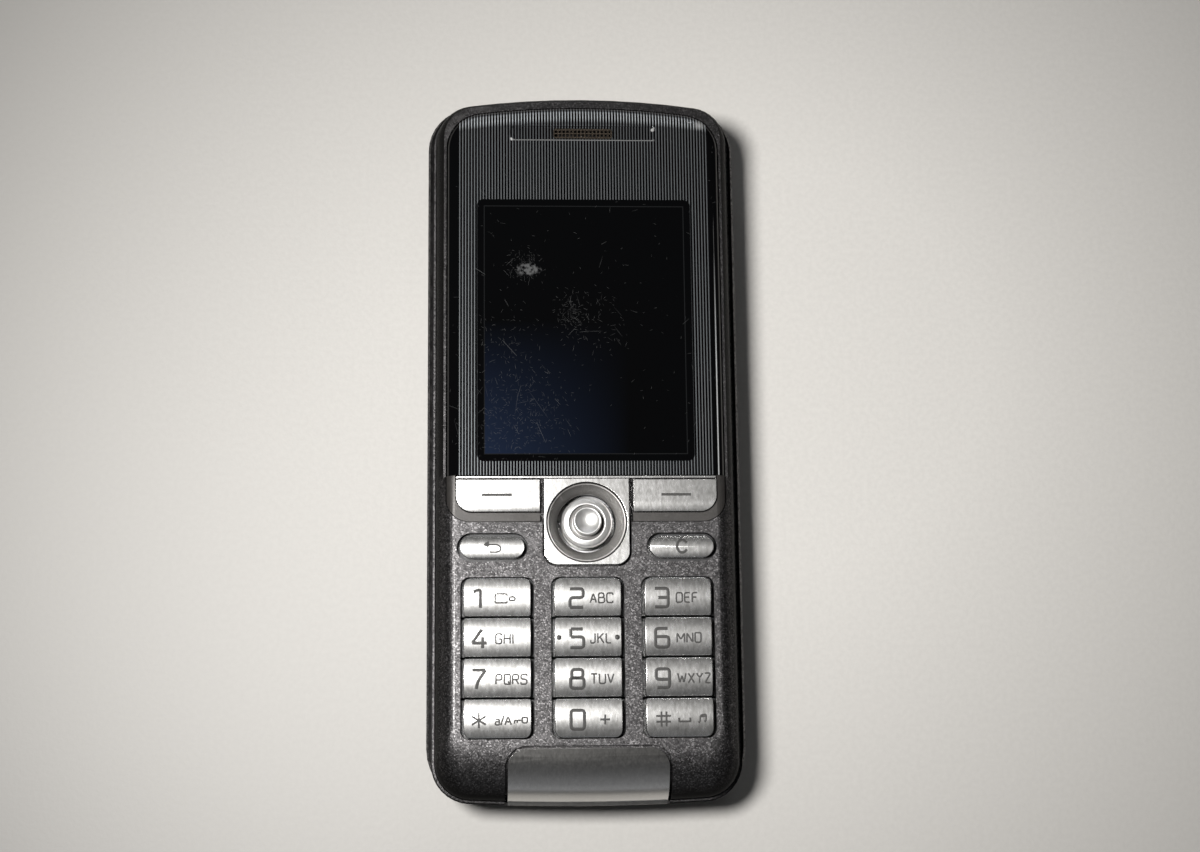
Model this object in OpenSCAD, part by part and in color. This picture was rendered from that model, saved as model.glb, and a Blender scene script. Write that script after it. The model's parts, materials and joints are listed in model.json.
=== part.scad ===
// Candybar phone lying on its back, front face up, earpiece towards +Y.
// The origin is under the middle of the phone, on the surface that it lies on.

/* [Overall] */
// Width across the rear housing
body_w = 44; // [43.5:0.5:48]
// Length from end to end
body_l = 101; // [100:0.5:110]
// Height of the front face above the back
face_z = 17; // [16:0.1:19]
// Height of the front face above the parting line
front_h = 6.8; // [6.2:0.1:7.4]
// Radius of the bow of the top end
top_bow = 119; // [90:1:200]
// Radius of the bow of the bottom end
bottom_bow = 320; // [200:10:500]

/* [Rear housing] */
// Wall thickness of the back and sides
rear_wall = 1.2; // [1:0.05:1.4]
// Corner radius at the top end
rear_corner_top = 6.5; // [5.5:0.1:8]
// Corner radius at the bottom end
rear_corner_bottom = 7.5; // [6.5:0.1:9]
// How far in the back edge is rounded
rear_round_w = 4.5; // [3.5:0.1:4.8]
// How high up the back edge is rounded
rear_round_h = 6; // [5:0.1:6.4]
// Rounding of the edge at the parting line
rear_lip = 0.35; // [0.2:0.05:0.5]
// How far the bottom end stays behind the front housing
rear_bottom_step = 0.1; // [0.05:0.05:0.6]
// Open seam between the two housings
seam_gap = 0.2; // [0.1:0.05:0.3]

/* [Front housing] */
// How far its sides stand in from the rear housing
front_step = 1.1; // [0.9:0.05:1.3]
// How far its top end stands in from the rear housing
front_top_step = 0.77; // [0.6:0.01:1.2]
// How far the base flange stands out
flange_out = 0.45; // [0.2:0.05:0.6]
// Height of the base flange
flange_h = 0.8; // [0.5:0.05:1.2]
// How far in the shoulder is rounded
front_round_w = 2.9; // [2.4:0.1:3.2]
// How much longer the shoulder is at the bottom end
end_roll = 5.2; // [4.4:0.1:5.4]
// Corner radius at the top end
front_corner_top = 5.5; // [5:0.1:6.5]
// Corner radius at the bottom end
front_corner_bottom = 5; // [4.4:0.1:6]
// Side wall thickness
front_wall = 1.3; // [1.1:0.05:1.5]
// Thickness of the face behind the keys
face_wall = 1.2; // [1:0.05:1.4]
// Thickness of the shelf that carries the window
shelf_t = 0.8; // [0.6:0.05:0.9]

/* [Window] */
// Rim of the front housing beside the window
lens_rim = 1.7; // [1.6:0.05:2.2]
// Rim of the front housing above the window
lens_top_rim = 2.35; // [2:0.05:4]
// Corner radius of the window
lens_corner = 5.2; // [4:0.1:6]
// Thickness of the window
lens_t = 1.9; // [1.6:0.05:2]
// How far the window stands proud of the face
lens_proud = 0.2; // [0.1:0.05:0.4]
// How far in the edge of the window rolls over
lens_roll_w = 1.7; // [1.2:0.1:2.4]
// How far down the edge of the window rolls over
lens_roll_h = 1.3; // [0.9:0.05:1.4]
// Thickness of the printed foil
foil_t = 0.1; // [0.05:0.05:0.2]

/* [Earpiece] */
// Length of the recess across the window
slot_w = 20.5; // [16:0.5:24]
// Height of the recess
slot_h = 1.95; // [1.8:0.05:2.2]
// Depth of the recess
slot_depth = 0.4; // [0.2:0.05:0.6]
// Distance from the top edge of the window
slot_drop = 4; // [3.6:0.1:5]
// Length of the grille
mesh_w = 8.4; // [7:0.1:9.5]
// Height of the grille
mesh_h = 1.5; // [1.3:0.05:1.6]
// Thickness of the grille
mesh_t = 0.4; // [0.3:0.05:0.6]
// Side of each hole in the grille
mesh_hole = 0.34; // [0.25:0.01:0.4]

/* [Display] */
// Width of the module
display_w = 33; // [29:0.1:37]
// Length of the module
display_l = 42.8; // [38:0.1:48]
// Distance of the module from the top edge of the window
display_drop = 10.38; // [9.5:0.02:11.5]
// Rim of the module beside the clear area
view_side_rim = 1.5; // [1.3:0.05:2]
// Rim of the module above the clear area
view_top_rim = 3.46; // [2:0.02:4]
// Rim of the module below the clear area
view_bottom_rim = 1.94; // [1.7:0.02:3]
// Thickness of the foam ring on it
gasket_t = 0.4; // [0.3:0.05:0.6]

/* [Number keys] */
// Rim of the front housing beside the columns
column_rim = 3.62; // [3.2:0.02:4]
// Bar between the columns
column_bar = 2.28; // [2:0.02:2.6]
// Distance of the columns from the square plate
keypad_drop = 1.51; // [1.3:0.01:2]
// Distance of the columns from the bottom tab
keypad_rise = 1.17; // [1:0.01:1.7]
// Gap beside the keys
key_side_gap = 0.46; // [0.3:0.02:0.6]
// Gap between the rows
key_row_gap = 0.3; // [0.24:0.02:0.5]
// Corner radius of the openings
column_corner = 1.2; // [0.8:0.05:1.4]
// How far the keys stand proud of the face
key_proud = 0.6; // [0.4:0.05:1]
// Radius of the crown of the keys
key_crown = 7.6; // [6.5:0.1:14]
// Travel of every key on the face
key_travel = 0.35; // [0.2:0.05:0.4]

/* [Pill keys] */
// Height of the opening
pill_h = 3.9; // [3.5:0.05:4.3]
// Rim of the front housing beside the opening
pill_rim = 3.12; // [2.9:0.02:3.6]
// Distance of the opening from the square plate
pill_nav_gap = 2.11; // [1.8:0.01:2.6]
// Distance of the opening from the softkey band
pill_drop = 1.62; // [1.4:0.02:2]
// How far the pill keys stand proud of the face
pill_proud = 0.45; // [0.3:0.05:0.8]
// Radius of the crown of the pill keys
pill_crown = 4.6; // [3.6:0.1:8]

/* [Softkeys] */
// Height of a softkey
softkey_h = 4.35; // [3.9:0.05:4.8]
// Distance of a softkey from the silver strip
softkey_drop = 0.28; // [0.24:0.02:0.5]
// Distance of a softkey from the square plate
softkey_nav_gap = 0.45; // [0.4:0.05:0.8]
// Radius of the lower outer corner
softkey_corner = 2.2; // [1.4:0.1:2.4]
// How far the softkeys stand proud of the face
softkey_proud = 0.35; // [0.2:0.05:0.6]
// Width of the band round a softkey
band_w = 1.2; // [1.1:0.05:1.25]
// How far the band lies under the face
band_drop = 0.25; // [0.15:0.05:0.4]
// Height of the silver strip above the softkeys
strip_h = 0.3; // [0.2:0.05:0.35]

/* [Joystick] */
// Side of the square plate
nav_w = 12; // [11.8:0.05:12.1]
// Distance of the plate from the silver strip
nav_drop = 0.11; // [0.08:0.01:0.3]
// Narrowest rim of the plate round the dish
nav_rim = 0.45; // [0.35:0.05:0.8]
// Radius of the lower corners of the plate
nav_corner = 1.9; // [1.2:0.1:2.4]
// How far the plate stands proud of the face
nav_proud = 0.25; // [0.1:0.05:0.5]
// Width of the dished ring
dish_w = 1.5; // [1.3:0.05:1.6]
// Gap between the dish and the skirt of the cap
skirt_gap = 0.55; // [0.5:0.05:0.8]
// Width of the groove round the thumb rest
groove_w = 0.45; // [0.3:0.05:0.6]
// Radius of the thumb rest
thumb_r = 1.95; // [1.7:0.05:2]
// Radius of the hollow in its top
thumb_hollow = 3.2; // [2.4:0.1:6]
// How far the thumb rest stands proud of the face
thumb_proud = 1.5; // [1.2:0.05:2.2]
// Radius of the stem
stem_r = 0.9; // [0.7:0.05:1]
// Press travel of the joystick
stick_travel = 0.3; // [0.2:0.05:0.35]
// Side of the switch body under the joystick
stick_base_w = 8.4; // [8:0.1:8.8]

/* [Bottom tab] */
// Width of the plate
tab_w = 22; // [18:0.5:24]
// Length of the plate from the bottom end
tab_l = 7.2; // [6.2:0.1:7.25]
// Radius of its upper corners
tab_corner = 2.6; // [1.5:0.1:3]
// Thickness of the plate
tab_t = 0.8; // [0.6:0.05:0.9]
// Seam between the tab and the front housing
tab_gap = 0.28; // [0.2:0.02:0.34]

/* [Battery] */
// Distance of the pack from the sides
battery_side = 5; // [4.6:0.1:7]
// Distance of the pack from the bottom end
battery_foot = 11; // [10:0.1:12.5]
// Distance of the pack from the upper edge of its cover
battery_head = 7.5; // [6.8:0.1:9]
// Thickness of the battery cover
cover_t = 1.1; // [0.9:0.05:1.15]
// Height of the cover's sides
cover_z = 4.4; // [4:0.05:4.5]
// Thickness of the floor over the battery
bay_floor_t = 0.9; // [0.7:0.05:1]
// Length of the card
sim_l = 15; // [12:0.5:15]
// Width of the card
sim_w = 25; // [20:0.5:25]
// Distance of the card's middle from the upper end of the pack
sim_drop = 18.5; // [16:0.5:22]
// Thickness of the card
sim_t = 0.8; // [0.6:0.02:0.84]

/* [Side keys] */
// Depth of the side keys' middle below the parting line
side_drop = 3.2; // [3:0.05:3.5]
// Height of each side key
side_h = 2.6; // [2:0.1:2.6]
// Length of the volume rocker
volume_l = 14; // [10:0.5:16]
// Distance of the volume rocker's middle from the top end
volume_drop = 30.5; // [28:0.5:40]
// Length of the camera key
shutter_l = 7; // [5:0.5:9]
// Distance of the camera key's middle from the bottom end
shutter_rise = 28.5; // [24:0.5:34]
// Length of the power key
power_l = 8; // [6:0.5:10]
// Distance of the infrared window's middle from the top end
infrared_drop = 30.5; // [22:0.5:40]
// Length of the infrared window
infrared_l = 8; // [6:0.5:10]
// Travel of the camera and power keys
side_travel = 0.3; // [0.2:0.05:0.35]
// Depth of the scoop that the side keys lie in
scoop_depth = 0.35; // [0.2:0.05:0.5]

/* [Inside] */
// Thickness of the circuit board
board_t = 0.9; // [0.7:0.05:1]
// Width of the ledge under the board's edge
board_ledge = 1.3; // [1:0.1:1.4]
// Radius of the loudspeaker
speaker_r = 6.4; // [5:0.1:6.5]
// Side of the camera module
camera_w = 8.5; // [7:0.1:8.6]
// Radius of the camera's window
camera_window_r = 3.4; // [3:0.1:3.8]
// Radius of the vibration motor
motor_r = 2; // [1.6:0.05:2]
// Length of the vibration motor
motor_l = 9.5; // [7:0.1:10]
// Width of the bottom socket
socket_w = 17; // [14:0.5:20]
// Radius of a screw's shank
screw_r = 0.7; // [0.6:0.05:0.8]
// Radius of a screw's head
screw_head_r = 1.5; // [1.3:0.05:1.55]
// Material left over the end of a screw
screw_roof = 1.1; // [0.8:0.1:2]
// Room between the floor over the battery and the board
hold_h = 2.12; // [1.9:0.02:2.6]

/* [Clearances] */
// Between pieces that are seated together
seat_gap = 0.05; // [0.02:0.01:0.08]
// Round trim and covers
trim_gap = 0.12; // [0.08:0.01:0.13]
// Round pieces that move
run_gap = 0.15; // [0.1:0.01:0.16]
// Between a pin and its bore
pin_gap = 0.07; // [0.05:0.01:0.1]

/* [Hidden] */
KEYS = [
    ["key_1", "key_2", "key_3"],
    ["key_4", "key_5", "key_6"],
    ["key_7", "key_8", "key_9"],
    ["key_star", "key_0", "key_hash"]
];
$fn = 64;
corner_steps = 8;
end_steps = 8;
round_steps = 6;
shoulder_steps = 12;
far = 200;
paint_dark = "#3a3b3f";
paint_silver = "#c9c9c6";
plastic_black = "#151517";

// Outlines of the two housings and the window
half_w = body_w / 2;
half_l = body_l / 2;
front_half_w = half_w - front_step;
front_top = half_l - front_top_step;
front_bottom = half_l - flange_out;
lens_half_w = front_half_w - lens_rim;
lens_top = front_top - lens_top_rim;
slot_y = lens_top - slot_drop;

// The display hangs from the top of the window, which ends level with it
display_y = lens_top - display_drop - display_l / 2;
lens_bottom_y = lens_top - display_drop - display_l;
view_w = display_w - 2 * view_side_rim;
view_l = display_l - view_top_rim - view_bottom_rim;
view_y = lens_bottom_y + view_bottom_rim + view_l / 2;

// Heights: the board hangs under the parting line, and the pack fills the room below it
seam_z = face_z - front_h;
board_drop = 1;
board_z = seam_z - board_drop;
board_top = board_z + board_t;
hold_z = board_z - hold_h;
bay_floor_z = hold_z - bay_floor_t;
battery_z0 = cover_t + 2 * trim_gap;
battery_z1 = bay_floor_z - 2 * trim_gap;
bay_rim_h = 0.9;
bay_rim_z = cover_t + bay_rim_h;
front_z = seam_z + seam_gap;
flange_z = front_z + flange_h;
lens_z = face_z + lens_proud - lens_t;
seat_z = lens_z - foil_t;
shelf_z = seat_z - shelf_t;
rim_z = lens_z + lens_t - lens_roll_h;
wall_z = face_z - face_wall;
display_z = shelf_z - gasket_t;

// Key mat and key feet
foil_dome_t = 0.25;
foil_dome_h = 0.25;
nub_h = 0.4;
mat_t = 0.7;
mat_z = board_top + foil_dome_t + foil_dome_h + nub_h;
key_foot_z = mat_z + mat_t + key_travel + run_gap;
key_flange_t = 0.6;
key_flange_z = wall_z - seat_gap - key_flange_t;
key_lip = 0.42;
softkey_z = seat_z + key_travel + seat_gap;
softkey_lip = 0.45;
sheet_rim = 3.3;
sheet_end = 0.6;
sheet_gap = 0.4;

// Keys, one below the other from the window to the bottom tab
strip_y1 = lens_bottom_y - trim_gap;
strip_y0 = strip_y1 - strip_h;
softkey_y1 = strip_y0 - softkey_drop;
softkey_y0 = softkey_y1 - softkey_h;
frame_half_w = lens_half_w;
frame_y0 = softkey_y0 - trim_gap - band_w;
frame_corner = softkey_corner + band_w - 0.2;
nav_y1 = strip_y0 - nav_drop;
nav_y = nav_y1 - nav_w / 2;
nav_y0 = nav_y - nav_w / 2;
pill_y = frame_y0 - pill_drop - pill_h / 2;
tab_y1 = tab_l - front_bottom;
column_y1 = nav_y0 - keypad_drop;
column_y0 = tab_y1 + keypad_rise;
column_l = column_y1 - column_y0;
row_pitch = column_l / 4;
keypad_y = (column_y0 + column_y1) / 2;
keys_y1 = frame_y0 - trim_gap - 0.2;
keys_y0 = column_y0 - sheet_end;
mat_y1 = lens_bottom_y - sheet_gap;

// Keys, side by side
column_w = (2 * front_half_w - 2 * column_rim - 2 * column_bar) / 3;
column_pitch = column_w + column_bar;
pill_w = front_half_w - pill_rim - nav_w / 2 - pill_nav_gap;
pill_x = front_half_w - pill_rim - pill_w / 2;
softkey_x0 = nav_w / 2 + softkey_nav_gap;
softkey_x1 = frame_half_w - band_w - trim_gap;
softkey_mid = [(softkey_x0 + softkey_x1) / 2, (softkey_y0 + softkey_y1) / 2];
softkey_foot = [4, 2];
strip_half_w = softkey_x1;
key_w = column_w - 2 * key_side_gap;
key_l = row_pitch - key_row_gap;
key_foot = [4, 2.4];
mat_half_w = front_half_w - sheet_rim;

// Joystick
dish_r = nav_w / 2 - nav_rim;
well_r = dish_r - dish_w;
skirt_r = well_r - skirt_gap;
groove_r = thumb_r + groove_w;
stick_roof = 0.8;
stick_base_h = shelf_z - board_top - stick_roof;
pivot_drop = 1.4;
pivot_z = board_top + stick_base_h - pivot_drop;
cap_z = seat_z + 0.75;
groove_z = face_z - 0.4;
slider_r = 3.4;
slider_wall = 0.9;
slider_h = 1.8;
rocker_r = slider_r - slider_wall - run_gap;
rocker_wall = 0.85;
rocker_h = 0.9;
gimbal_pin_r = 0.35;

// Screws and the columns that they run through
screw_side = 6.5;
screw_top_end = 8;
screw_tab_drop = 1.75;
screw_x = half_w - screw_side;
screw_top_y = half_l - screw_top_end;
screw_bottom_y = tab_y1 - screw_tab_drop;
screw_z = bay_rim_z + 0.3;
screw_l = shelf_z - screw_z - screw_roof;
screw_head_h = 1;
boss_r = 1.8;
column_r = 2.2;

// The pocket at the top end: antenna, then camera and loudspeaker, then the motor
deep_inset = 4.6;
deep_wall = 1.4;
antenna_side = 10;
antenna_l = 5.2;
antenna_h = 4.6;
antenna_gap = 0.2;
antenna_half_w = half_w - antenna_side;
bow_drop = top_bow - sqrt(top_bow * top_bow - antenna_half_w * antenna_half_w);
antenna_y1 = half_l - deep_inset - bow_drop - antenna_gap;
antenna_y0 = antenna_y1 - antenna_l;
camera_side = 12.5;
camera_gap = 2.44;
camera_h = 3.4;
camera_lens_h = 1;
camera_at = [camera_side - half_w, antenna_y0 - camera_gap - camera_w / 2];
speaker_side = 13.8;
speaker_gap = 1.49;
speaker_foot = 2.2;
speaker_h = 2.2;
speaker_yoke_h = 1;
speaker_rim = 1.4;
speaker_at = [half_w - speaker_side, antenna_y0 - speaker_gap - speaker_r];
deep_y0 = speaker_at.y - speaker_r - speaker_foot;
motor_side = 6;
motor_gap = 0.2;
motor_at = [motor_side - half_w, deep_y0 + motor_r + motor_gap];
weight_l = 3.4;
shaft_r = 0.4;

// The battery and what lies over it
cover_y = deep_y0 - deep_wall;
battery_y0 = battery_foot - half_l;
battery_y1 = cover_y - battery_head;
battery_l = battery_y1 - battery_y0;
bay_y0 = battery_y0 - trim_gap * 2;
bay_y1 = battery_y1 + trim_gap * 2;
battery_w = 2 * (half_w - battery_side);
bay_half_w = battery_w / 2 + trim_gap * 2;
sim_y = battery_y1 - sim_drop;
sim_lift = 0.35;
sim_z = bay_floor_z + sim_lift;
sim_roof_t = 0.8;
sim_wall = 1;
sim_holder_l = 5;
sim_holder_drop = 2;
shield_w = 28;
shield_ends = 6;
shield_gap = 2.5;
hold_inset = rear_wall + board_ledge + 0.3;
board_inset = rear_wall + 0.3;
floor_in = rear_wall + seat_gap;

// Keys in the sides and pieces at the ends
side_z = seam_z - side_drop;
volume_y = half_l - volume_drop;
shutter_y = shutter_rise - half_l;
infrared_y = half_l - infrared_drop;
pocket_depth = 3.4;
side_key_depth = pocket_depth - side_travel - run_gap;
flush = 0.05;
earpiece_size = [11, 6, 3];
pad_pitch = 3;
pad_w = 2;
pad_depth = 0.3;
plug_half_w = 7;
plug_l = 2.5;
plug_z = 3;
socket_l = 6;
socket_in = 0.5;
socket_wall = 0.5;
socket_depth = 2.5;
contact_pitch = 1.3;
contact_w = 0.7;
contact_l = 2;
contact_t = 0.15;
microphone_in = 5.5;
microphone_r = 2;
microphone_h = 1.3;

// An arc of points round a centre
function arc(at, r, a0, a1, steps) =
    [for (i = [0:steps]) let (a = a0 + (a1 - a0) * i / steps) at + r * [cos(a), sin(a)]];

// One bowed end with rounded corners, from the right side to the left, moved in by inset
function bowed_end(w, end, corner, bow, inset) =
    let (
        reach = w - corner,
        middle = end - bow,
        height = middle + sqrt(pow(bow - corner, 2) - pow(reach, 2)),
        turn = atan2(height - middle, reach),
        crown = arc([0, middle], bow - inset, turn, 180 - turn, end_steps)
    )
    concat(
        arc([reach, height], corner - inset, 0, turn, corner_steps),
        [for (i = [1:end_steps - 1]) crown[i]],
        arc([-reach, height], corner - inset, 180 - turn, 180, corner_steps)
    );

function half_turn(points) = [for (p = points) -p];

function rear_ring(inset) = concat(
    bowed_end(half_w, half_l, rear_corner_top, top_bow, inset),
    half_turn(bowed_end(half_w, half_l - rear_bottom_step, rear_corner_bottom, bottom_bow, inset))
);

// The bottom end may lie further up, by foot
function front_ring(inset, foot = 0) = concat(
    bowed_end(front_half_w, front_top, front_corner_top, top_bow, inset),
    half_turn(bowed_end(front_half_w, front_bottom - foot, front_corner_bottom, bottom_bow, inset))
);

// The window is square at its lower edge
function lens_ring(inset, grow = 0) = concat(
    bowed_end(lens_half_w, lens_top, lens_corner, top_bow - lens_top_rim, inset - grow),
    [[inset - grow - lens_half_w, lens_bottom_y - grow], [lens_half_w + grow - inset, lens_bottom_y - grow]]
);

// Heights and insets that describe the rounded edges, moved in by d; the front's also say how far
// up its bottom end lies
function rear_levels(d) = concat(
    [for (i = [0:round_steps]) let (a = 90 - 90 * i / round_steps)
        [d + (rear_round_h - d) * (1 - sin(a)), d + (rear_round_w - d) * (1 - cos(a))]],
    [[seam_z - rear_lip, d], [seam_z, d + rear_lip]]
);

function front_levels(d) = concat(
    [[front_z, d - flange_out, 0], [flange_z - 0.1, d - flange_out, 0]],
    [for (i = [0:shoulder_steps]) let (a = 90 * i / shoulder_steps)
        [
            flange_z + (face_z - d - flange_z) * sin(a),
            d + (front_round_w - d) * (1 - cos(a)),
            end_roll * (1 - cos(a))
        ]]
);

function lens_levels() = concat(
    [[lens_z, 0]],
    [for (i = [0:round_steps]) let (a = 90 * i / round_steps)
        [rim_z + lens_roll_h * sin(a), lens_roll_w * (1 - cos(a))]]
);

// Closed skin through a stack of rings with the same number of points
module skin(rings) {
    n = len(rings[0]);
    top = (len(rings) - 1) * n;
    polyhedron(
        points = [for (ring = rings) each ring],
        faces = concat(
            [[for (i = [0:n - 1]) i], [for (i = [n - 1:-1:0]) top + i]],
            [for (base = [0:n:top - n], i = [0:n - 1]) [base + i, base + n + i, base + n + (i + 1) % n]],
            [for (base = [0:n:top - n], i = [0:n - 1])
                [base + i, base + n + (i + 1) % n, base + (i + 1) % n]]
        )
    );
}

function raise(points, z) = [for (p = points) [p.x, p.y, z]];

module rear_skin(d = 0) {
    skin([for (level = rear_levels(d)) raise(rear_ring(level[1]), level[0])]);
}

module front_skin(d = 0) {
    skin([for (level = front_levels(d)) raise(front_ring(level[1], level[2]), level[0])]);
}

module prism(points, z0, z1) {
    translate([0, 0, z0]) linear_extrude(z1 - z0) polygon(points);
}

// Box between two corners
module block(low, high) {
    translate(low) cube(high - low);
}

// Upright round bar from z0 to z1
module post(at, r, z0, z1) {
    translate([at.x, at.y, z0]) cylinder(r = r, h = z1 - z0);
}

module rounded_rect(w, l, r) {
    square([w - 2 * r, l], center = true);
    square([w, l - 2 * r], center = true);
    for (x = [-1, 1], y = [-1, 1])
        translate([x * (w / 2 - r), y * (l / 2 - r)]) circle(r = r);
}

// Rectangle from y0 to y1 with both corners at y1 rounded; y1 may be below y0
module round_ended(w, y0, y1, r) {
    side = sign(y1 - y0);
    translate([-w / 2, min(y0, y1 - side * r)]) square([w, abs(y1 - y0) - r]);
    translate([r - w / 2, min(y1, y1 - side * r)]) square([w - 2 * r, r]);
    for (x = [-1, 1]) translate([x * (w / 2 - r), y1 - side * r]) circle(r = r);
}

module slab(at, w, l, r, z0, z1) {
    translate([at.x, at.y, z0]) linear_extrude(z1 - z0) rounded_rect(w, l, r);
}

module mirrored() {
    children();
    mirror([1, 0, 0]) children();
}

// Middles of the keys
function key_at(column, row) = [(column - 1) * column_pitch, keypad_y + (1.5 - row) * row_pitch];

key_middles = concat(
    [for (row = [0:3], column = [0:2]) key_at(column, row)],
    [for (side = [-1, 1]) [side * pill_x, pill_y]],
    [for (side = [-1, 1]) [side * softkey_mid.x, softkey_mid.y]]
);
screw_places = [for (x = [-screw_x, screw_x], y = [screw_bottom_y, screw_top_y]) [x, y]];

// Room that the battery cover fills, opened by a clearance
module cover_room(d, gap) {
    difference() {
        block([-far, -far, -far], [far, cover_y + gap, cover_z + gap]);
        rear_skin(d);
    }
}

// Pockets and scoops for the keys in the sides, made at the right side or the top end
module side_pocket(y, l) {
    margin = 1.3;
    h = side_h / 2 + run_gap;
    block([half_w - pocket_depth, y - l / 2 - 1.4 * run_gap, side_z - h],
        [far, y + l / 2 + 1.4 * run_gap, side_z + h]);
    difference() {
        block([0, y - l / 2 - margin, side_z - h - margin / 2],
            [far, y + l / 2 + margin, side_z + h + margin / 2]);
        prism(rear_ring(scoop_depth), 0, far);
    }
}

module power_pocket() {
    block([-power_l / 2 - run_gap, half_l - pocket_depth, side_z - side_h / 2 - run_gap],
        [power_l / 2 + run_gap, far, side_z + side_h / 2 + run_gap]);
}

module rocker_pin(gap) {
    reach = side_h / 2 + 0.75 + gap;
    post([half_w - 1.8, volume_y], 0.45 + gap, side_z - reach, side_z + reach);
}

module infrared_block(gap) {
    block([-far, infrared_y - infrared_l / 2 - gap, side_z - side_h / 2 - gap],
        [gap - half_w + rear_wall, infrared_y + infrared_l / 2 + gap, side_z + side_h / 2 + gap]);
}

module rear_housing() {
    color(paint_dark) difference() {
        union() {
            difference() {
                rear_skin();
                cover_room(cover_t + run_gap, run_gap);
                block([-far, -far, -far], [far, cover_y - cover_t, bay_rim_z]);
                prism(rear_ring(hold_inset), hold_z, board_z + 1);
                prism(rear_ring(board_inset - run_gap), board_z, far);
                intersection() {
                    prism(rear_ring(deep_inset), rear_wall, board_z);
                    block([-far, deep_y0, 0], [far, far, far]);
                }
                block([-bay_half_w, bay_y0, 0], [bay_half_w, bay_y1, bay_floor_z]);
            }
            block([-sim_w / 2 - sim_wall, sim_y - sim_l / 2 - sim_wall, bay_floor_z],
                [sim_w / 2 + sim_wall, sim_y + sim_l / 2 + sim_wall, sim_z + sim_t + sim_roof_t]);
            for (x = [-screw_x, screw_x]) post([x, screw_top_y], column_r, 0.5, board_z);
        }
        slab([0, sim_y], sim_w + 2 * trim_gap, sim_l + 2 * trim_gap, 0.3, 0, sim_z + sim_t + seat_gap);
        for (at = screw_places) {
            post(at, screw_r + trim_gap, 0, far);
            post(at, screw_head_r + trim_gap, -far, screw_z);
        }
        battery_connector_room(trim_gap);
        socket_room(trim_gap);
        side_pocket(volume_y, volume_l);
        rocker_pin(pin_gap);
        side_pocket(shutter_y, shutter_l);
        power_pocket();
        infrared_block(trim_gap);
        post(camera_at, camera_window_r + trim_gap, -far, rear_wall - 0.3);
        post(camera_at, camera_window_r - 0.8, -far, far);
        for (i = [-2:2])
            slab(speaker_at + [0, 1.9 * i], 8 - abs(i) * 1.6, 0.9, 0.4, -far, rear_wall + 1);
    }
}

module battery_cover() {
    grip_pitch = 1.4;
    grip_y = bay_y0 + 2;
    color(paint_dark) difference() {
        intersection() {
            rear_skin();
            block([-far, -far, -far], [far, cover_y, cover_z]);
        }
        rear_skin(cover_t);
        for (i = [0:4]) slab([0, grip_y + i * grip_pitch], 13, 0.6, 0.29, -far, 0.3);
    }
}

// Shapes of the openings in the front housing
module column_shape(column) {
    translate(key_at(column, 1.5)) rounded_rect(column_w, column_l, column_corner);
}

module pill_shape(grow) {
    w = pill_w + 2 * grow;
    h = pill_h + 2 * grow;
    translate([pill_x, pill_y]) rounded_rect(w, h, h / 2 - 0.01);
}

module frame_shape(grow) {
    round_ended(2 * (frame_half_w + grow), strip_y1 + trim_gap, frame_y0 - grow, frame_corner + grow);
}

module nav_shape(grow) {
    round_ended(nav_w + 2 * grow, nav_y1 + grow, nav_y0 - grow, nav_corner + grow);
}

module tab_shape(grow) {
    round_ended(tab_w + 2 * grow, -far, tab_y1 + grow, tab_corner + grow);
}

// Layer of the front surface, d thick, inside a plan shape
module front_layer(d) {
    difference() {
        translate([0, 0, front_z - 0.1]) linear_extrude(far) children();
        front_skin(d);
    }
}

module front_cavity() {
    upper_inset = pill_rim - key_lip - 0.2;
    low_foot = 2.25;
    low_h = 2.2;
    high_foot = tab_l - 2.6;
    intersection() {
        prism(front_ring(front_wall), 0, shelf_z);
        union() {
            block([-far, low_foot - front_bottom, 0], [far, far, front_z + low_h]);
            block([-far, high_foot - front_bottom, 0], [far, far, far]);
        }
    }
    difference() {
        intersection() {
            prism(front_ring(upper_inset), 0, wall_z);
            block([-far, keys_y0, 0], [far, keys_y1, far]);
        }
        translate([0, 0, shelf_z]) linear_extrude(far) nav_shape(0.5);
    }
}

module front_openings() {
    linear_extrude(far) {
        for (column = [0:2]) column_shape(column);
        mirrored() pill_shape(0);
    }
    prism(lens_ring(0, trim_gap), seat_z, far);
    block([-far, lens_bottom_y - trim_gap, rim_z + 0.05], [far, far, far]);
    translate([0, 0, seat_z]) linear_extrude(far) {
        frame_shape(trim_gap);
        nav_shape(trim_gap);
    }
    slab([0, view_y], view_w + 0.8, view_l + 0.8, 0.6, 0, far);
    post([0, nav_y], well_r, 0, far);
    mirrored() slab(softkey_mid, softkey_foot.x + 2 * run_gap, softkey_foot.y + 2 * run_gap, 0.2, 0, far);
    slab([0, slot_y], mesh_w - 1, mesh_h - 0.4, 0.3, 0, far);
}

module front_housing() {
    bore = screw_r + pin_gap;
    color(paint_dark) {
        difference() {
            front_skin();
            front_cavity();
            front_openings();
            front_layer(tab_t) tab_shape(tab_gap);
        }
        for (at = screw_places) difference() {
            post(at, boss_r, front_z - 0.1, shelf_z);
            post(at, bore, 0, screw_z + screw_l + 0.3);
        }
    }
}

module bottom_tab() {
    color("#a9a9a8") intersection() {
        front_skin();
        front_layer(tab_t - seat_gap) tab_shape(0);
    }
}

module window_lens() {
    color("#26282b") difference() {
        skin([for (level = lens_levels()) raise(lens_ring(level[1]), level[0])]);
        slab([0, slot_y], slot_w, slot_h, 0.7, lens_z + lens_t - slot_depth, far);
        slab([0, slot_y], mesh_w, mesh_h, 0.4, 0, far);
    }
}

module stripe_foil() {
    color("#8d9094") difference() {
        prism(lens_ring(0.4), seat_z, lens_z);
        slab([0, view_y], view_w, view_l, 0.5, 0, far);
        slab([0, slot_y], mesh_w, mesh_h, 0.4, 0, far);
    }
}

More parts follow.
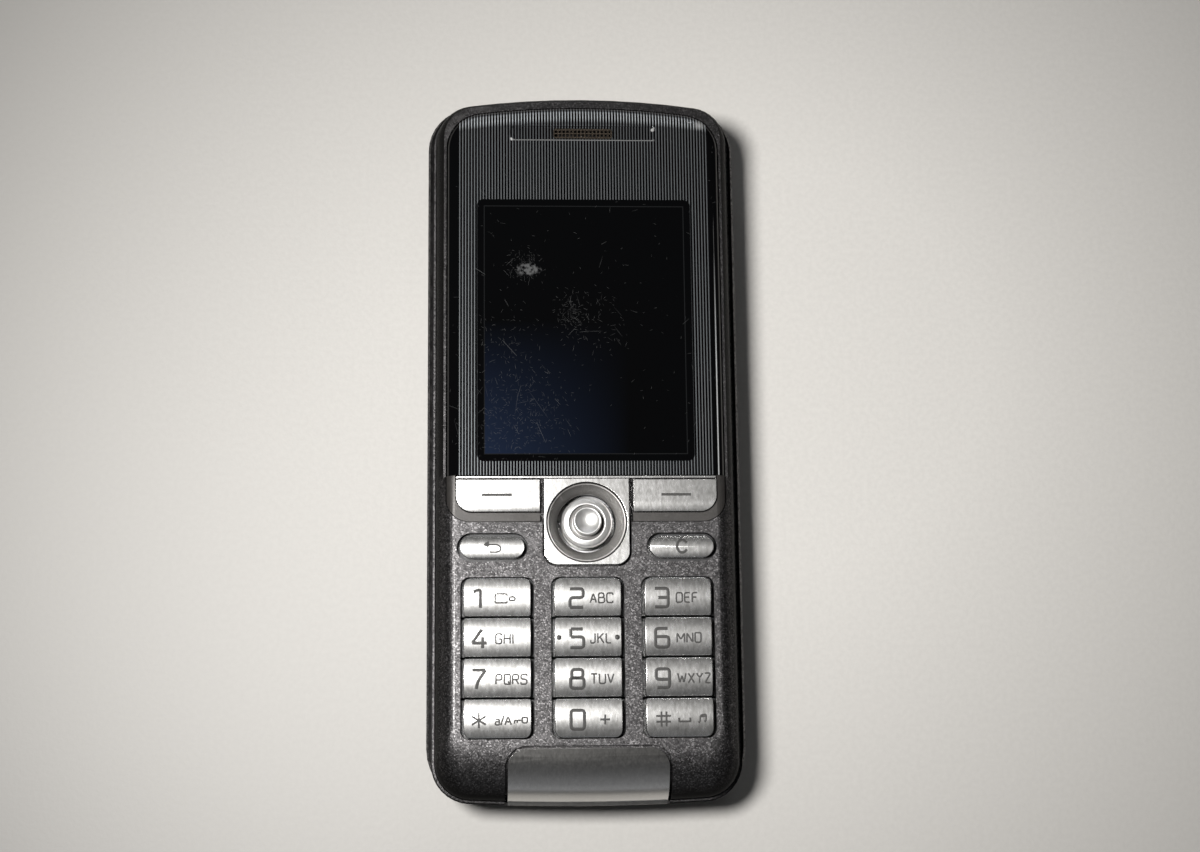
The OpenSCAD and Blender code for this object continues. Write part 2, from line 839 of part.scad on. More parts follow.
module earpiece_mesh() {
    w = mesh_w - 2 * seat_gap;
    h = mesh_h - 2 * seat_gap;
    pitch = 1.6 * mesh_hole;
    columns = floor((w / 2 - mesh_hole) / pitch);
    z1 = lens_z + lens_t - slot_depth;
    translate([0, slot_y, 0]) color("#7a6248") difference() {
        slab([0, 0], w, h, 0.35, z1 - mesh_t, z1);
        for (i = [-columns:columns], j = [-0.5, 0.5])
            slab([i * pitch, j * pitch], mesh_hole, mesh_hole, 0.01, 0, far);
    }
}

module earpiece_speaker() {
    size = earpiece_size;
    color("#2b2b2d") slab([0, slot_y], size.x, size.y, size.y / 4, shelf_z - size.z, shelf_z - seat_gap);
}

module display_module() {
    glass_t = 1.2;
    color("#0b0c10") {
        slab([0, display_y], display_w, display_l, 0.6, board_top, display_z - glass_t);
        slab([0, display_y], display_w - 1.4, display_l - 1.4, 0.4, display_z - glass_t, display_z);
    }
}

module display_gasket() {
    color("#202022") difference() {
        slab([0, view_y], view_w + 2.4, view_l + 2.4, 0.8, display_z, shelf_z);
        slab([0, view_y], view_w + 0.8, view_l + 0.8, 0.5, 0, far);
    }
}

module trim_strip() {
    color(paint_silver)
        block([-strip_half_w, strip_y0, seat_z], [strip_half_w, strip_y1, face_z + 0.15]);
}

// Plan of the right softkey, grown on its outer and lower sides
module softkey_shape(grow = 0, lip = 0, up = 0) {
    x0 = softkey_x0 - grow;
    x1 = softkey_x1 + grow + lip;
    y0 = softkey_y0 - grow - lip;
    y1 = softkey_y1 + up;
    r = softkey_corner + grow;
    translate([x0, y0 + r]) square([x1 - x0, y1 - y0 - r]);
    translate([x0, y0]) square([x1 - x0 - r, r]);
    translate([x1 - r, y0 + r]) circle(r = r);
}

module softkey_frames() {
    color("#4c4d50") mirrored() difference() {
        intersection() {
            front_skin(band_drop);
            translate([0, 0, seat_z]) linear_extrude(far) frame_shape(0);
        }
        block([-far, -far, 0], [nav_w / 2 + 0.4, far, far]);
        block([0, strip_y0 - trim_gap, 0], [strip_half_w + trim_gap, far, far]);
        linear_extrude(far) softkey_shape(trim_gap, 0, 1);
        linear_extrude(softkey_z + key_flange_t) softkey_shape(trim_gap, softkey_lip, 1);
    }
}

module softkey() {
    color(paint_silver) {
        translate([0, 0, softkey_z]) linear_extrude(face_z + softkey_proud - softkey_z) softkey_shape();
        translate([0, 0, softkey_z]) linear_extrude(key_flange_t - seat_gap) softkey_shape(0, softkey_lip);
        slab(softkey_mid, softkey_foot.x, softkey_foot.y, 0.3, key_foot_z, softkey_z);
    }
}

module softkey_left() {
    mirror([1, 0, 0]) softkey();
}

module softkey_right() {
    softkey();
}

// Round bar along X whose top line is at the given height, for the crown of a key
module crown(at, r, top) {
    translate([at.x, at.y, top - r]) rotate([0, 90, 0]) cylinder(r = r, h = 20, center = true);
}

module pill_key() {
    at = [pill_x, pill_y];
    color(paint_silver) {
        intersection() {
            translate([0, 0, key_flange_z]) linear_extrude(far) pill_shape(-key_side_gap);
            crown(at, pill_crown, face_z + pill_proud);
        }
        translate([0, 0, key_flange_z]) linear_extrude(key_flange_t) pill_shape(key_lip);
        slab(at, key_foot.x, key_foot.y, 0.3, key_foot_z, key_flange_z);
    }
}

module back_key() {
    mirror([1, 0, 0]) pill_key();
}

module clear_key() {
    pill_key();
}

// Plan of a number key; the end rows follow the rounded ends of the opening
module key_shape(row) {
    end_r = column_corner - 0.2;
    if (row == 0) round_ended(key_w, -key_l / 2, key_l / 2, end_r);
    else if (row == 3) round_ended(key_w, key_l / 2, -key_l / 2, end_r);
    else rounded_rect(key_w, key_l, 0.25);
}

module number_key(column, row) {
    at = key_at(column, row);
    color(paint_silver) {
        intersection() {
            translate([at.x, at.y, key_flange_z]) linear_extrude(far) key_shape(row);
            crown(at, key_crown, face_z + key_proud);
        }
        slab(at, column_w + 2 * key_lip, key_l, 0.25, key_flange_z, key_flange_z + key_flange_t);
        slab(at, key_foot.x, key_foot.y, 0.3, key_foot_z, key_flange_z);
    }
}

module nav_plate() {
    color(paint_silver) difference() {
        translate([0, 0, seat_z]) linear_extrude(face_z + nav_proud - seat_z) nav_shape(0);
        post([0, nav_y], dish_r, 0, far);
    }
}

module nav_dish() {
    top = face_z + 0.05;
    outer = dish_r - trim_gap;
    color("#58585a") translate([0, nav_y, 0]) rotate_extrude()
        polygon([
            [well_r, seat_z], [outer, seat_z], [outer, top], [outer - 0.2, top], [well_r, seat_z + 0.7]
        ]);
}

module joystick_cap() {
    top = face_z + thumb_proud;
    hollow_r = thumb_r - 0.3;
    brink = sqrt(pow(thumb_hollow, 2) - pow(hollow_r, 2));
    socket_r = stem_r + seat_gap;
    socket_z = groove_z + 0.05;
    color(paint_silver) translate([0, nav_y, 0]) rotate_extrude()
        polygon(concat(
            [[0, socket_z], [socket_r, socket_z], [socket_r, cap_z], [skirt_r, cap_z]],
            [[skirt_r, cap_z + 0.55], [skirt_r - 0.18, cap_z + 0.8], [skirt_r - 0.45, cap_z + 0.93]],
            [[groove_r + 0.2, face_z], [groove_r + 0.05, face_z - 0.02], [groove_r, face_z - 0.1]],
            [[groove_r, groove_z], [thumb_r, groove_z]],
            [[thumb_r, top - 0.3], [thumb_r - 0.07, top - 0.09], [thumb_r - 0.18, top]],
            [for (i = [0:6]) let (r = hollow_r * (1 - i / 6))
                [r, top - 0.04 + brink - sqrt(pow(thumb_hollow, 2) - pow(r, 2))]]
        ));
}

// Round bar lying along X or Y through the joystick's pivot, from one radius to another
module pivot_bar(turn, r, from, to) {
    translate([0, nav_y, pivot_z]) rotate([0, 0, turn]) rotate([0, 90, 0])
        translate([0, 0, from]) cylinder(r = r, h = to - from);
}

module joystick_stem() {
    pin_end = rocker_r - run_gap;
    color("#d8d8d4") {
        post([0, nav_y], stem_r, pivot_z - 0.6, groove_z);
        pivot_bar(90, gimbal_pin_r, -pin_end, pin_end);
    }
}

module joystick_rocker() {
    inner = rocker_r - rocker_wall;
    color("#2f2f31") {
        difference() {
            post([0, nav_y], rocker_r, pivot_z - rocker_h / 2, pivot_z + rocker_h / 2);
            post([0, nav_y], inner, 0, far);
            pivot_bar(90, gimbal_pin_r + pin_gap, -rocker_r - 1, rocker_r + 1);
        }
        for (turn = [0, 180]) pivot_bar(turn, gimbal_pin_r, inner + 0.5, slider_r - 2 * run_gap);
    }
}

module joystick_slider() {
    color("#6a6a6c") difference() {
        post([0, nav_y], slider_r, pivot_z - slider_h / 2, pivot_z + slider_h / 2);
        post([0, nav_y], slider_r - slider_wall, 0, far);
        pivot_bar(0, gimbal_pin_r + pin_gap, -slider_r - 1, slider_r + 1);
    }
}

module joystick_base() {
    color("#b5b6b8") difference() {
        slab([0, nav_y], stick_base_w, stick_base_w, 0.5, board_top, board_top + stick_base_h);
        post([0, nav_y], slider_r + run_gap, pivot_z - slider_h / 2 - stick_travel - 2 * run_gap, far);
    }
}

// Plan of the sheets under the keys, cut out round the joystick's switch
module sheet_shape() {
    notch = stick_base_w / 2 + 0.6;
    difference() {
        translate([-mat_half_w, keys_y0]) square([2 * mat_half_w, mat_y1 - keys_y0]);
        translate([-notch, nav_y - notch]) square([2 * notch, far]);
    }
}

module keypad_mat() {
    color("#d9d6cc") {
        translate([0, 0, mat_z]) linear_extrude(mat_t) sheet_shape();
        for (at = key_middles) post(at, 0.9, mat_z - nub_h + seat_gap, mat_z);
    }
}

module dome_sheet() {
    color("#caa85a") {
        translate([0, 0, board_top]) linear_extrude(foil_dome_t) sheet_shape();
        for (at = key_middles) post(at, 2, board_top + foil_dome_t, board_top + foil_dome_t + foil_dome_h);
    }
}

module main_board() {
    color("#1f5a3a") difference() {
        prism(rear_ring(board_inset), board_z, board_top);
        for (at = screw_places) post(at, screw_r + 2 * trim_gap, 0, far);
    }
}

module shield_can() {
    y0 = bay_y0 + shield_ends / 2 + 1;
    y1 = sim_y - sim_l / 2 - shield_gap - shield_ends / 2 + 1;
    color("#b9babb") slab([0, (y0 + y1) / 2], shield_w, y1 - y0, 0.8, hold_z + trim_gap, board_z);
}

module side_switches() {
    size = [1.6, 3, board_z - hold_z - 2 * trim_gap];
    x1 = half_w - pocket_depth - trim_gap;
    places = [volume_y - volume_l / 3, volume_y + volume_l / 3, shutter_y];
    color("#c8b27a") {
        for (y = places)
            block([x1 - size.x, y - size.y / 2, board_z - size.z], [x1, y + size.y / 2, board_z]);
        translate([0, half_l - pocket_depth - trim_gap - size.x / 2, board_z - size.z / 2])
            cube([size.y, size.x, size.z], center = true);
    }
}

module battery() {
    middle = [0, battery_y0 + battery_l / 2];
    color("#303236") difference() {
        slab(middle, battery_w, battery_l, 1.2, battery_z0, battery_z1);
        for (i = [-1.5:1.5])
            block([i * pad_pitch - pad_w / 2, battery_y1 - pad_depth, battery_z0 + 1],
                [i * pad_pitch + pad_w / 2, far, battery_z1 - 1]);
    }
}

module battery_connector_room(gap) {
    block([-plug_half_w - gap, bay_y1 - gap, plug_z - gap],
        [plug_half_w + gap, bay_y1 + plug_l + gap, board_z]);
}

module battery_connector() {
    spring_w = pad_w / 2;
    color("#26262a") block([-plug_half_w, bay_y1, plug_z], [plug_half_w, bay_y1 + plug_l, board_z]);
    color("#d4af4a") for (i = [-1.5:1.5])
        block([i * pad_pitch - spring_w / 2, bay_y1 - 0.2, plug_z + 0.4],
            [i * pad_pitch + spring_w / 2, bay_y1, plug_z + 2]);
}

module sim_card() {
    color("#e8e6da") slab([0, sim_y], sim_w, sim_l, 0.3, sim_z, sim_z + sim_t);
}

module sim_holder() {
    z0 = bay_floor_z + seat_gap;
    color("#c0c1c3") slab([0, sim_y - sim_holder_drop], sim_w, sim_holder_l, 0.4, z0, sim_z);
}

module loudspeaker() {
    color("#1c1c1f") {
        post(speaker_at, speaker_r, floor_in, floor_in + speaker_h);
        post(speaker_at, speaker_r - speaker_rim, floor_in, floor_in + speaker_h + speaker_yoke_h);
    }
}

module microphone() {
    at = [0, microphone_in - half_l];
    color("#9a9b9c") post(at, microphone_r, board_top, board_top + microphone_h);
}

module vibration_motor() {
    z = floor_in + motor_r;
    color("#a8a9ab") translate([motor_at.x, motor_at.y, z]) rotate([0, 90, 0]) {
        cylinder(r = motor_r, h = motor_l);
        cylinder(r = shaft_r, h = motor_l + weight_l + 0.6);
    }
}

module vibration_weight() {
    r = motor_r - 0.2;
    z = floor_in + motor_r;
    color("#77787a") translate([motor_at.x + motor_l + 0.3, motor_at.y, z]) rotate([0, 90, 0])
        difference() {
            union() {
                cylinder(r = shaft_r + 0.6, h = weight_l);
                intersection() {
                    cylinder(r = r, h = weight_l);
                    translate([-far, 0, 0]) cube([2 * far, far, far]);
                }
            }
            translate([0, 0, -1]) cylinder(r = shaft_r + pin_gap, h = weight_l + 2);
        }
}

module antenna() {
    at = [0, antenna_y0 + antenna_l / 2];
    color("#3a3a3c") slab(at, 2 * antenna_half_w, antenna_l, 0.6, floor_in, floor_in + antenna_h);
}

module camera_module() {
    color("#18181b") {
        slab(camera_at, camera_w, camera_w, 0.6, floor_in, floor_in + camera_h);
        post(camera_at, camera_w / 2 - 1, floor_in, floor_in + camera_h + camera_lens_h);
    }
}

module camera_window() {
    color("#14161a") post(camera_at, camera_window_r, 0.15, rear_wall - 0.3);
}

module infrared_window() {
    color("#2a1218") intersection() {
        infrared_block(0);
        prism(rear_ring(flush), 0, far);
    }
}

module power_key() {
    color(plastic_black) intersection() {
        block([-power_l / 2, half_l - side_key_depth, side_z - side_h / 2],
            [power_l / 2, far, side_z + side_h / 2]);
        prism(rear_ring(flush), 0, far);
    }
}

module side_key(y, l) {
    intersection() {
        block([half_w - side_key_depth, y - l / 2, side_z - side_h / 2],
            [far, y + l / 2, side_z + side_h / 2]);
        prism(rear_ring(flush), 0, far);
    }
}

module volume_rocker() {
    color(plastic_black) {
        side_key(volume_y, volume_l);
        rocker_pin(0);
    }
}

module camera_key() {
    color(plastic_black) side_key(shutter_y, shutter_l);
}

// Room for the bottom socket in the end wall, opened by a clearance
module socket_room(gap) {
    block([-socket_w / 2 - gap, -far, hold_z], [socket_w / 2 + gap, socket_l - half_l, board_z]);
}

module system_connector() {
    z0 = hold_z + seat_gap;
    z1 = board_z - seat_gap;
    y0 = socket_in - half_l;
    side = socket_w / 2 - 2 * socket_wall;
    color("#101012") difference() {
        block([-socket_w / 2, y0, z0], [socket_w / 2, socket_l - half_l, z1]);
        block([-side, y0 - 1, z0 + socket_wall], [side, y0 + socket_depth, z1 - socket_wall]);
    }
}

module connector_contacts() {
    z0 = hold_z + seat_gap + socket_wall;
    y1 = socket_in - half_l + socket_depth - 0.1;
    count = floor((socket_w - 6 * socket_wall) / contact_pitch);
    color("#d4af4a") for (i = [0:count - 1]) {
        x = (i - (count - 1) / 2) * contact_pitch;
        block([x - contact_w / 2, y1 - contact_l, z0], [x + contact_w / 2, y1, z0 + contact_t]);
    }
}

module housing_screws() {
    color("#8a8b8d") for (at = screw_places) {
        post(at, screw_r, screw_z, screw_z + screw_l);
        difference() {
            post(at, screw_head_r, screw_z - screw_head_h, screw_z);
            translate([at.x, at.y, 0]) cylinder(r = 0.8, h = screw_z - screw_head_h / 2, $fn = 6);
        }
    }
}

rear_housing();
front_housing();
battery_cover();
bottom_tab();
window_lens();
stripe_foil();
earpiece_mesh();
earpiece_speaker();
display_module();
display_gasket();
trim_strip();
softkey_frames();
softkey_left();
softkey_right();
back_key();
clear_key();
for (row = [0:3], column = [0:2])
    number_key(column, row);
nav_plate();
nav_dish();
joystick_cap();
joystick_stem();
joystick_rocker();
joystick_slider();
joystick_base();
keypad_mat();
dome_sheet();
main_board();
shield_can();
side_switches();
battery();
battery_connector();
sim_holder();
sim_card();
loudspeaker();
microphone();
vibration_motor();
vibration_weight();
antenna();
camera_module();
camera_window();
infrared_window();
power_key();
volume_rocker();
camera_key();
system_connector();
connector_contacts();
housing_screws();
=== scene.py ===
"""Looks of a candybar phone that lies on its back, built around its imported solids."""
import json
import math

import bmesh
import bpy
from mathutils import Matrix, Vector


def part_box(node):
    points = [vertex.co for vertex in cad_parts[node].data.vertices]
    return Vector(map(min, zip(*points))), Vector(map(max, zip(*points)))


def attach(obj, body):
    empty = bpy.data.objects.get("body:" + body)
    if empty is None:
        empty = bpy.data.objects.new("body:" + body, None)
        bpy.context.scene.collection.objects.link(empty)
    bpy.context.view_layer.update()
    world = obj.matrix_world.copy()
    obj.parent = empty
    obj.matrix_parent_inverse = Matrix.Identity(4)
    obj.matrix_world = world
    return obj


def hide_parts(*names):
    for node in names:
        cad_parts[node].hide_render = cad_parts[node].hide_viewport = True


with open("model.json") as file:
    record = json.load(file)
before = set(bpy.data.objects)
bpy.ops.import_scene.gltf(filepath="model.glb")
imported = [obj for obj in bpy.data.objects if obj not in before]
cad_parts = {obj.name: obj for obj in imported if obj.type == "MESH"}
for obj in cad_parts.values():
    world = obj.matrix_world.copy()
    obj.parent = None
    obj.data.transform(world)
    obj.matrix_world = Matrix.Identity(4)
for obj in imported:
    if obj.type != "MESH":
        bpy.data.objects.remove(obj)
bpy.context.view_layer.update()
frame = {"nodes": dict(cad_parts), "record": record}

bl_info = {
    "name": "Candybar phone",
    "version": (1, 0, 0),
    "blender": (4, 5, 0),
    "location": "3D View > Sidebar > Phone",
    "description": "Dresses the solids of a candybar phone with detailed pieces and finishes",
    "category": "Object",
}

MM = 0.001
HAIR = 0.01 * MM
SAME, TINY = 1e-6, 1e-7  # metres within which two places, or two heights, count as one
FLAT_ANGLE = 0.4  # degrees within which the faces of a solid are one flat face
TURNED_ANGLE = 50  # degrees from which an edge of a turned piece stays sharp
NUMBER_KEYS = (
    ("key_1", "key_2", "key_3"),
    ("key_4", "key_5", "key_6"),
    ("key_7", "key_8", "key_9"),
    ("key_star", "key_0", "key_hash"),
)


# Sizes and colours that a user may change

def length(name, description, millimetres):
    return bpy.props.FloatProperty(
        name=name, description=description, default=millimetres * MM, min=0.0, precision=5, unit="LENGTH"
    )


def colour(name, description, value):
    return bpy.props.FloatVectorProperty(
        name=name, description=description, default=value, size=3, min=0.0, max=1.0, subtype="COLOR"
    )


def share(name, description, value):
    return bpy.props.FloatProperty(
        name=name, description=description, default=value, min=0.0, max=1.0, subtype="FACTOR"
    )


class PhoneSizes(bpy.types.PropertyGroup):
    """Small sizes that the solids leave out"""

    key_edge: length("Key edge", "Rounding of the edges of the keys", 0.2)
    key_crown: length("Key crown", "Radius of the crown of the number keys", 9.2)
    key_crest: length("Key crest", "How far the crest of a number key lies above its middle", 0.38)
    pill_crown: length("Pill crown", "Radius of the crown of the pill keys", 4.6)
    thumb_hollow: length("Thumb hollow", "Radius of the hollow in the joystick's top", 3.2)
    shell_edge: length("Shell edge", "Rounding of the edges of the housings", 0.1)
    tab_edge: length("Tab edge", "Rounding of the edges of the bottom tab", 0.24)
    digit_height: length("Digit height", "Height of the printed digits", 2.5)
    digit_stroke: length("Digit stroke", "Width of the strokes of the digits", 0.44)
    sign_stroke: length("Sign stroke", "Width of the strokes of the signs", 0.27)
    letter_height: length("Letter height", "Height of the printed letters", 1.29)
    letter_stroke: length("Letter stroke", "Width of the strokes of the letters", 0.22)
    print_lift: length("Print lift", "How far the print stands on a key", 0.015)
    stripe_pitch: length("Stripe pitch", "Distance between the stripes behind the window", 0.415)
    stripe_share: share("Stripe share", "Bright share of each stripe", 0.34)
    flake: length("Flake", "Size of the flakes in the paint", 0.15)


class PhoneColours(bpy.types.PropertyGroup):
    """Colours of the finishes"""

    sparkle: colour("Sparkle paint", "Dark flake paint of the front housing", (0.068, 0.066, 0.0675))
    rear: colour("Rear paint", "Satin paint of the rear housing", (0.046, 0.0445, 0.0445))
    silver: colour("Silver paint", "Satin silver of the keys", (0.96, 0.948, 0.924))
    tab: colour("Tab paint", "Grey metallic of the bottom tab", (0.62, 0.61, 0.595))
    band: colour("Band plastic", "Grey of the softkey bands", (0.050, 0.0467, 0.0444))
    dish: colour("Dish paint", "Grey of the dished ring", (0.40, 0.389, 0.379))
    stripe: colour("Stripes", "Bright lines behind the window", (0.138, 0.146, 0.153))
    print_ink: colour("Print", "Dark print on the keys", (0.02, 0.0195, 0.019))
    table: colour("Table", "Pale surface that the phone lies on", (0.73, 0.712, 0.683))


def sizes():
    return bpy.context.scene.phone_sizes


def colours():
    return bpy.context.scene.phone_colours


# Modelling by hand: select, shape in edit mode, finish with modifiers

def activate(piece):
    if bpy.context.mode != "OBJECT":
        bpy.ops.object.mode_set(mode="OBJECT")
    bpy.ops.object.select_all(action="DESELECT")
    piece.select_set(True)
    bpy.context.view_layer.objects.active = piece


def start(name):
    """Takes the primitive that was just added into edit mode under its name, with its place in its mesh."""
    piece = bpy.context.object
    piece.name = piece.data.name = name
    bpy.ops.object.transform_apply(location=True, rotation=True, scale=True)
    edit(piece)
    return piece


def edit(piece):
    """Takes a piece into edit mode, with all of it selected."""
    activate(piece)
    bpy.ops.object.mode_set(mode="EDIT")
    bpy.ops.mesh.select_all(action="SELECT")


def rest():
    if bpy.context.mode != "OBJECT":
        bpy.ops.object.mode_set(mode="OBJECT")
    bpy.ops.object.select_all(action="DESELECT")


def box_piece(name, low, high):
    rest()
    low, high = Vector(low), Vector(high)
    bpy.ops.mesh.primitive_cube_add(size=1, location=(low + high) / 2, scale=high - low)
    return start(name)


def pick(piece, kind, test):
    """Selects the vertices, edges or faces that pass a test and leaves the others out."""
    bpy.ops.mesh.select_mode(type=kind)
    bpy.ops.mesh.select_all(action="DESELECT")
    mesh = bmesh.from_edit_mesh(piece.data)
    mesh.normal_update()
    found = [x for x in {"VERT": mesh.verts, "EDGE": mesh.edges, "FACE": mesh.faces}[kind] if test(x)]
    if not found:
        raise RuntimeError(f"{piece.name}: nothing to select")
    for x in found:
        x.select_set(True)
    mesh.select_flush_mode()
    bmesh.update_edit_mesh(piece.data)


def middle(edge):
    return (edge.verts[0].co + edge.verts[1].co) / 2


def upright(edge):
    along = edge.verts[1].co - edge.verts[0].co
    return abs(along.z) > 0.99 * along.length


def round_uprights(piece, test, radius, segments):
    pick(piece, "EDGE", lambda e: upright(e) and test(middle(e)))
    bpy.ops.mesh.bevel(offset=radius, segments=segments, affect="EDGES", clamp_overlap=False)


def cut_rows(y0, y1, rows):
    """Cuts the piece in edit mode into rows across Y."""
    for i in range(1, rows):
        bpy.ops.mesh.select_all(action="SELECT")
        bpy.ops.mesh.bisect(plane_co=(0, y0 + (y1 - y0) * i / rows, 0), plane_no=(0, 1, 0))


def drop_rows(piece, top, fall):
    """Lowers the top face row by row, as far as fall says for each Y and a little more."""
    mesh = bmesh.from_edit_mesh(piece.data)
    rows = sorted({round(v.co.y, 7) for v in mesh.verts if v.co.z > top - TINY})
    for y in rows:
        pick(piece, "VERT", lambda v: v.co.z > top - TINY and abs(v.co.y - y) < SAME)
        bpy.ops.transform.translate(value=(0, 0, -fall(y) - SAME))


def turned(name, at, profile, segments=96):
    """A lathe-turned piece: each ring of the profile is extruded from the one before it."""
    rest()
    radius, height = profile[0]
    bpy.ops.mesh.primitive_circle_add(vertices=segments, radius=radius, location=(at.x, at.y, height))
    piece = start(name)
    for next_radius, next_height in profile[1:]:
        bpy.ops.mesh.extrude_edges_move(TRANSFORM_OT_translate={"value": (0, 0, next_height - height)})
        next_radius = max(next_radius, TINY)
        grow = next_radius / radius
        bpy.ops.transform.resize(value=(grow, grow, 1), center_override=(at.x, at.y, next_height))
        radius, height = next_radius, next_height
    return piece


def close_up(piece):
    """Merges what coincides and turns all faces outwards."""
    bpy.ops.mesh.select_all(action="SELECT")
    bpy.ops.mesh.remove_doubles(threshold=SAME)
    bpy.ops.mesh.normals_make_consistent(inside=False)
    rest()
    return piece


def modify(piece, kind, **settings):
    activate(piece)
    modifier = piece.modifiers.new(kind.title(), kind)
    for key, value in settings.items():
        setattr(modifier, key, value)
    bpy.ops.object.modifier_apply(modifier=modifier.name)


def soften(piece, width, segments=3, angle=35):
    """Rounds the sharp edges and shades the rest smooth."""
    modify(
        piece, "BEVEL", width=width, segments=segments, limit_method="ANGLE", angle_limit=math.radians(angle),
        use_clamp_overlap=True, miter_outer="MITER_ARC", harden_normals=False,
    )
    smooth(piece)


def smooth(piece, angle=40):
    activate(piece)
    bpy.ops.object.shade_smooth_by_angle(angle=math.radians(angle))
    modify(piece, "WEIGHTED_NORMAL", mode="FACE_AREA_WITH_ANGLE", weight=50, keep_sharp=True)


def solid_copy(node, name):
    """A copy of a solid whose loose triangles are merged and whose flat faces are whole again."""
    rest()
    piece = bpy.data.objects.new(name, frame["nodes"][node].data.copy())
    piece.data.name = name
    bpy.context.scene.collection.objects.link(piece)
    activate(piece)
    piece.data.materials.clear()
    if piece.data.has_custom_normals:
        bpy.ops.mesh.customdata_custom_splitnormals_clear()
    edit(piece)
    bpy.ops.mesh.remove_doubles(threshold=SAME)
    bpy.ops.mesh.dissolve_limited(angle_limit=math.radians(FLAT_ANGLE))
    rest()
    return piece


def copied(piece, name, shift=(0, 0, 0), mirror=False):
    """A copy of a piece with its own mesh, moved to its place or mirrored over the middle plane."""
    activate(piece)
    bpy.ops.object.duplicate(linked=False)
    twin = bpy.context.object
    twin.name = twin.data.name = name
    edit(twin)
    bpy.ops.transform.translate(value=shift)
    if mirror:
        bpy.ops.transform.resize(value=(-1, 1, 1), center_override=(0, 0, 0))
        bpy.ops.mesh.normals_make_consistent(inside=False)
    rest()
    return twin


def centre_of(node):
    low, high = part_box(node)
    return (low + high) / 2


finishes = {}


def finish(name):
    """A finish by its name; the first call makes them all."""
    if not finishes:
        finishes.update(make_finishes())
    return finishes[name]


def wear(piece, paint, slot, body, *nodes):
    """Gives a finished piece its finish, its body and the solids that it stands for."""
    piece.data.materials.clear()
    piece.data.materials.append(finish(paint))
    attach(piece, body)
    if nodes:
        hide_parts(*nodes)
    return piece


def edged(node, name, width, slot, body, segments=2, angle=50):
    """A copy of a solid with its edges rounded, which wears the finish of its slot and stands for the solid."""
    piece = solid_copy(node, name)
    soften(piece, width, segments, angle)
    return wear(piece, slot, slot, body, node)


# Node trees

def put(tree, kind, inputs=None, **settings):
    """A new node with its settings and inputs; an input that is a socket is linked."""
    node = tree.nodes.new(kind)
    for key, value in settings.items():
        setattr(node, key, value)
    for key, value in (inputs or {}).items():
        if isinstance(value, bpy.types.NodeSocket):
            tree.links.new(value, node.inputs[key])
        else:
            node.inputs[key].default_value = value
    return node


def calc(tree, operation, *values):
    return put(tree, "ShaderNodeMath", dict(enumerate(values)), operation=operation).outputs[0]


def times(tree, *values):
    """The product of all values."""
    product = values[0]
    for value in values[1:]:
        product = calc(tree, "MULTIPLY", product, value)
    return product


def off(tree, value, middle):
    """How far a value lies from a middle, on either side."""
    return calc(tree, "ABSOLUTE", calc(tree, "SUBTRACT", value, middle))


def span(tree, value, low, high, to_low=0.0, to_high=1.0):
    """Maps a value from one range to another and keeps it there."""
    inputs = {"Value": value, "From Min": low, "From Max": high, "To Min": to_low, "To Max": to_high}
    return put(tree, "ShaderNodeMapRange", inputs).outputs[0]


def within(tree, mask, low, high):
    """A mask from 0 to 1, stretched over another range."""
    return span(tree, mask, 0.0, 1.0, low, high)


def mixed(tree, factor, a, b):
    return put(tree, "ShaderNodeMix", {0: factor, 6: a, 7: b}, data_type="RGBA").outputs[2]


def tinged(tree, body, mask, most, tint):
    """A colour with a tint over it where a mask shows, at most as strong as most."""
    return mixed(tree, times(tree, mask, most), body, tint)


def mixed_value(tree, factor, a, b):
    return put(tree, "ShaderNodeMix", {0: factor, 2: a, 3: b}, data_type="FLOAT").outputs[0]


def scaled(tree, vector, x, y, z):
    return put(tree, "ShaderNodeVectorMath", {0: vector, 1: (x, y, z)}, operation="MULTIPLY").outputs[0]


def axes(tree, vector):
    return put(tree, "ShaderNodeSeparateXYZ", {0: vector}).outputs


def noise(tree, vector, scale, detail):
    return put(tree, "ShaderNodeTexNoise", {"Vector": vector, "Scale": scale, "Detail": detail}).outputs[0]


def apart(tree, where, at, stretch=(1.0, 1.0)):
    """How far a point lies from another one, seen from above, with X and Y stretched."""
    flat = scaled(tree, where, *stretch, 0.0)
    spot = (at[0] * stretch[0], at[1] * stretch[1], 0.0)
    return put(tree, "ShaderNodeVectorMath", {0: flat, 1: spot}, operation="DISTANCE").outputs["Value"]


def rgba(value, gain=1.0):
    """A colour made lighter or darker, for a socket."""
    return (*(min(1.0, c * gain) for c in value), 1.0)


def effect(name, numbers, outputs):
    """An empty shader node group for a place and some numbers; returns its tree, inputs and outputs."""
    tree = bpy.data.node_groups.new(name, "ShaderNodeTree")
    tree.interface.new_socket("Vector", in_out="INPUT", socket_type="NodeSocketVector")
    for number, default in numbers.items():
        socket = tree.interface.new_socket(number, in_out="INPUT", socket_type="NodeSocketFloat")
        socket.default_value = default
    for output in outputs:
        tree.interface.new_socket(output, in_out="OUTPUT", socket_type="NodeSocketFloat")
    return tree, tree.nodes.new("NodeGroupInput").outputs, tree.nodes.new("NodeGroupOutput").inputs


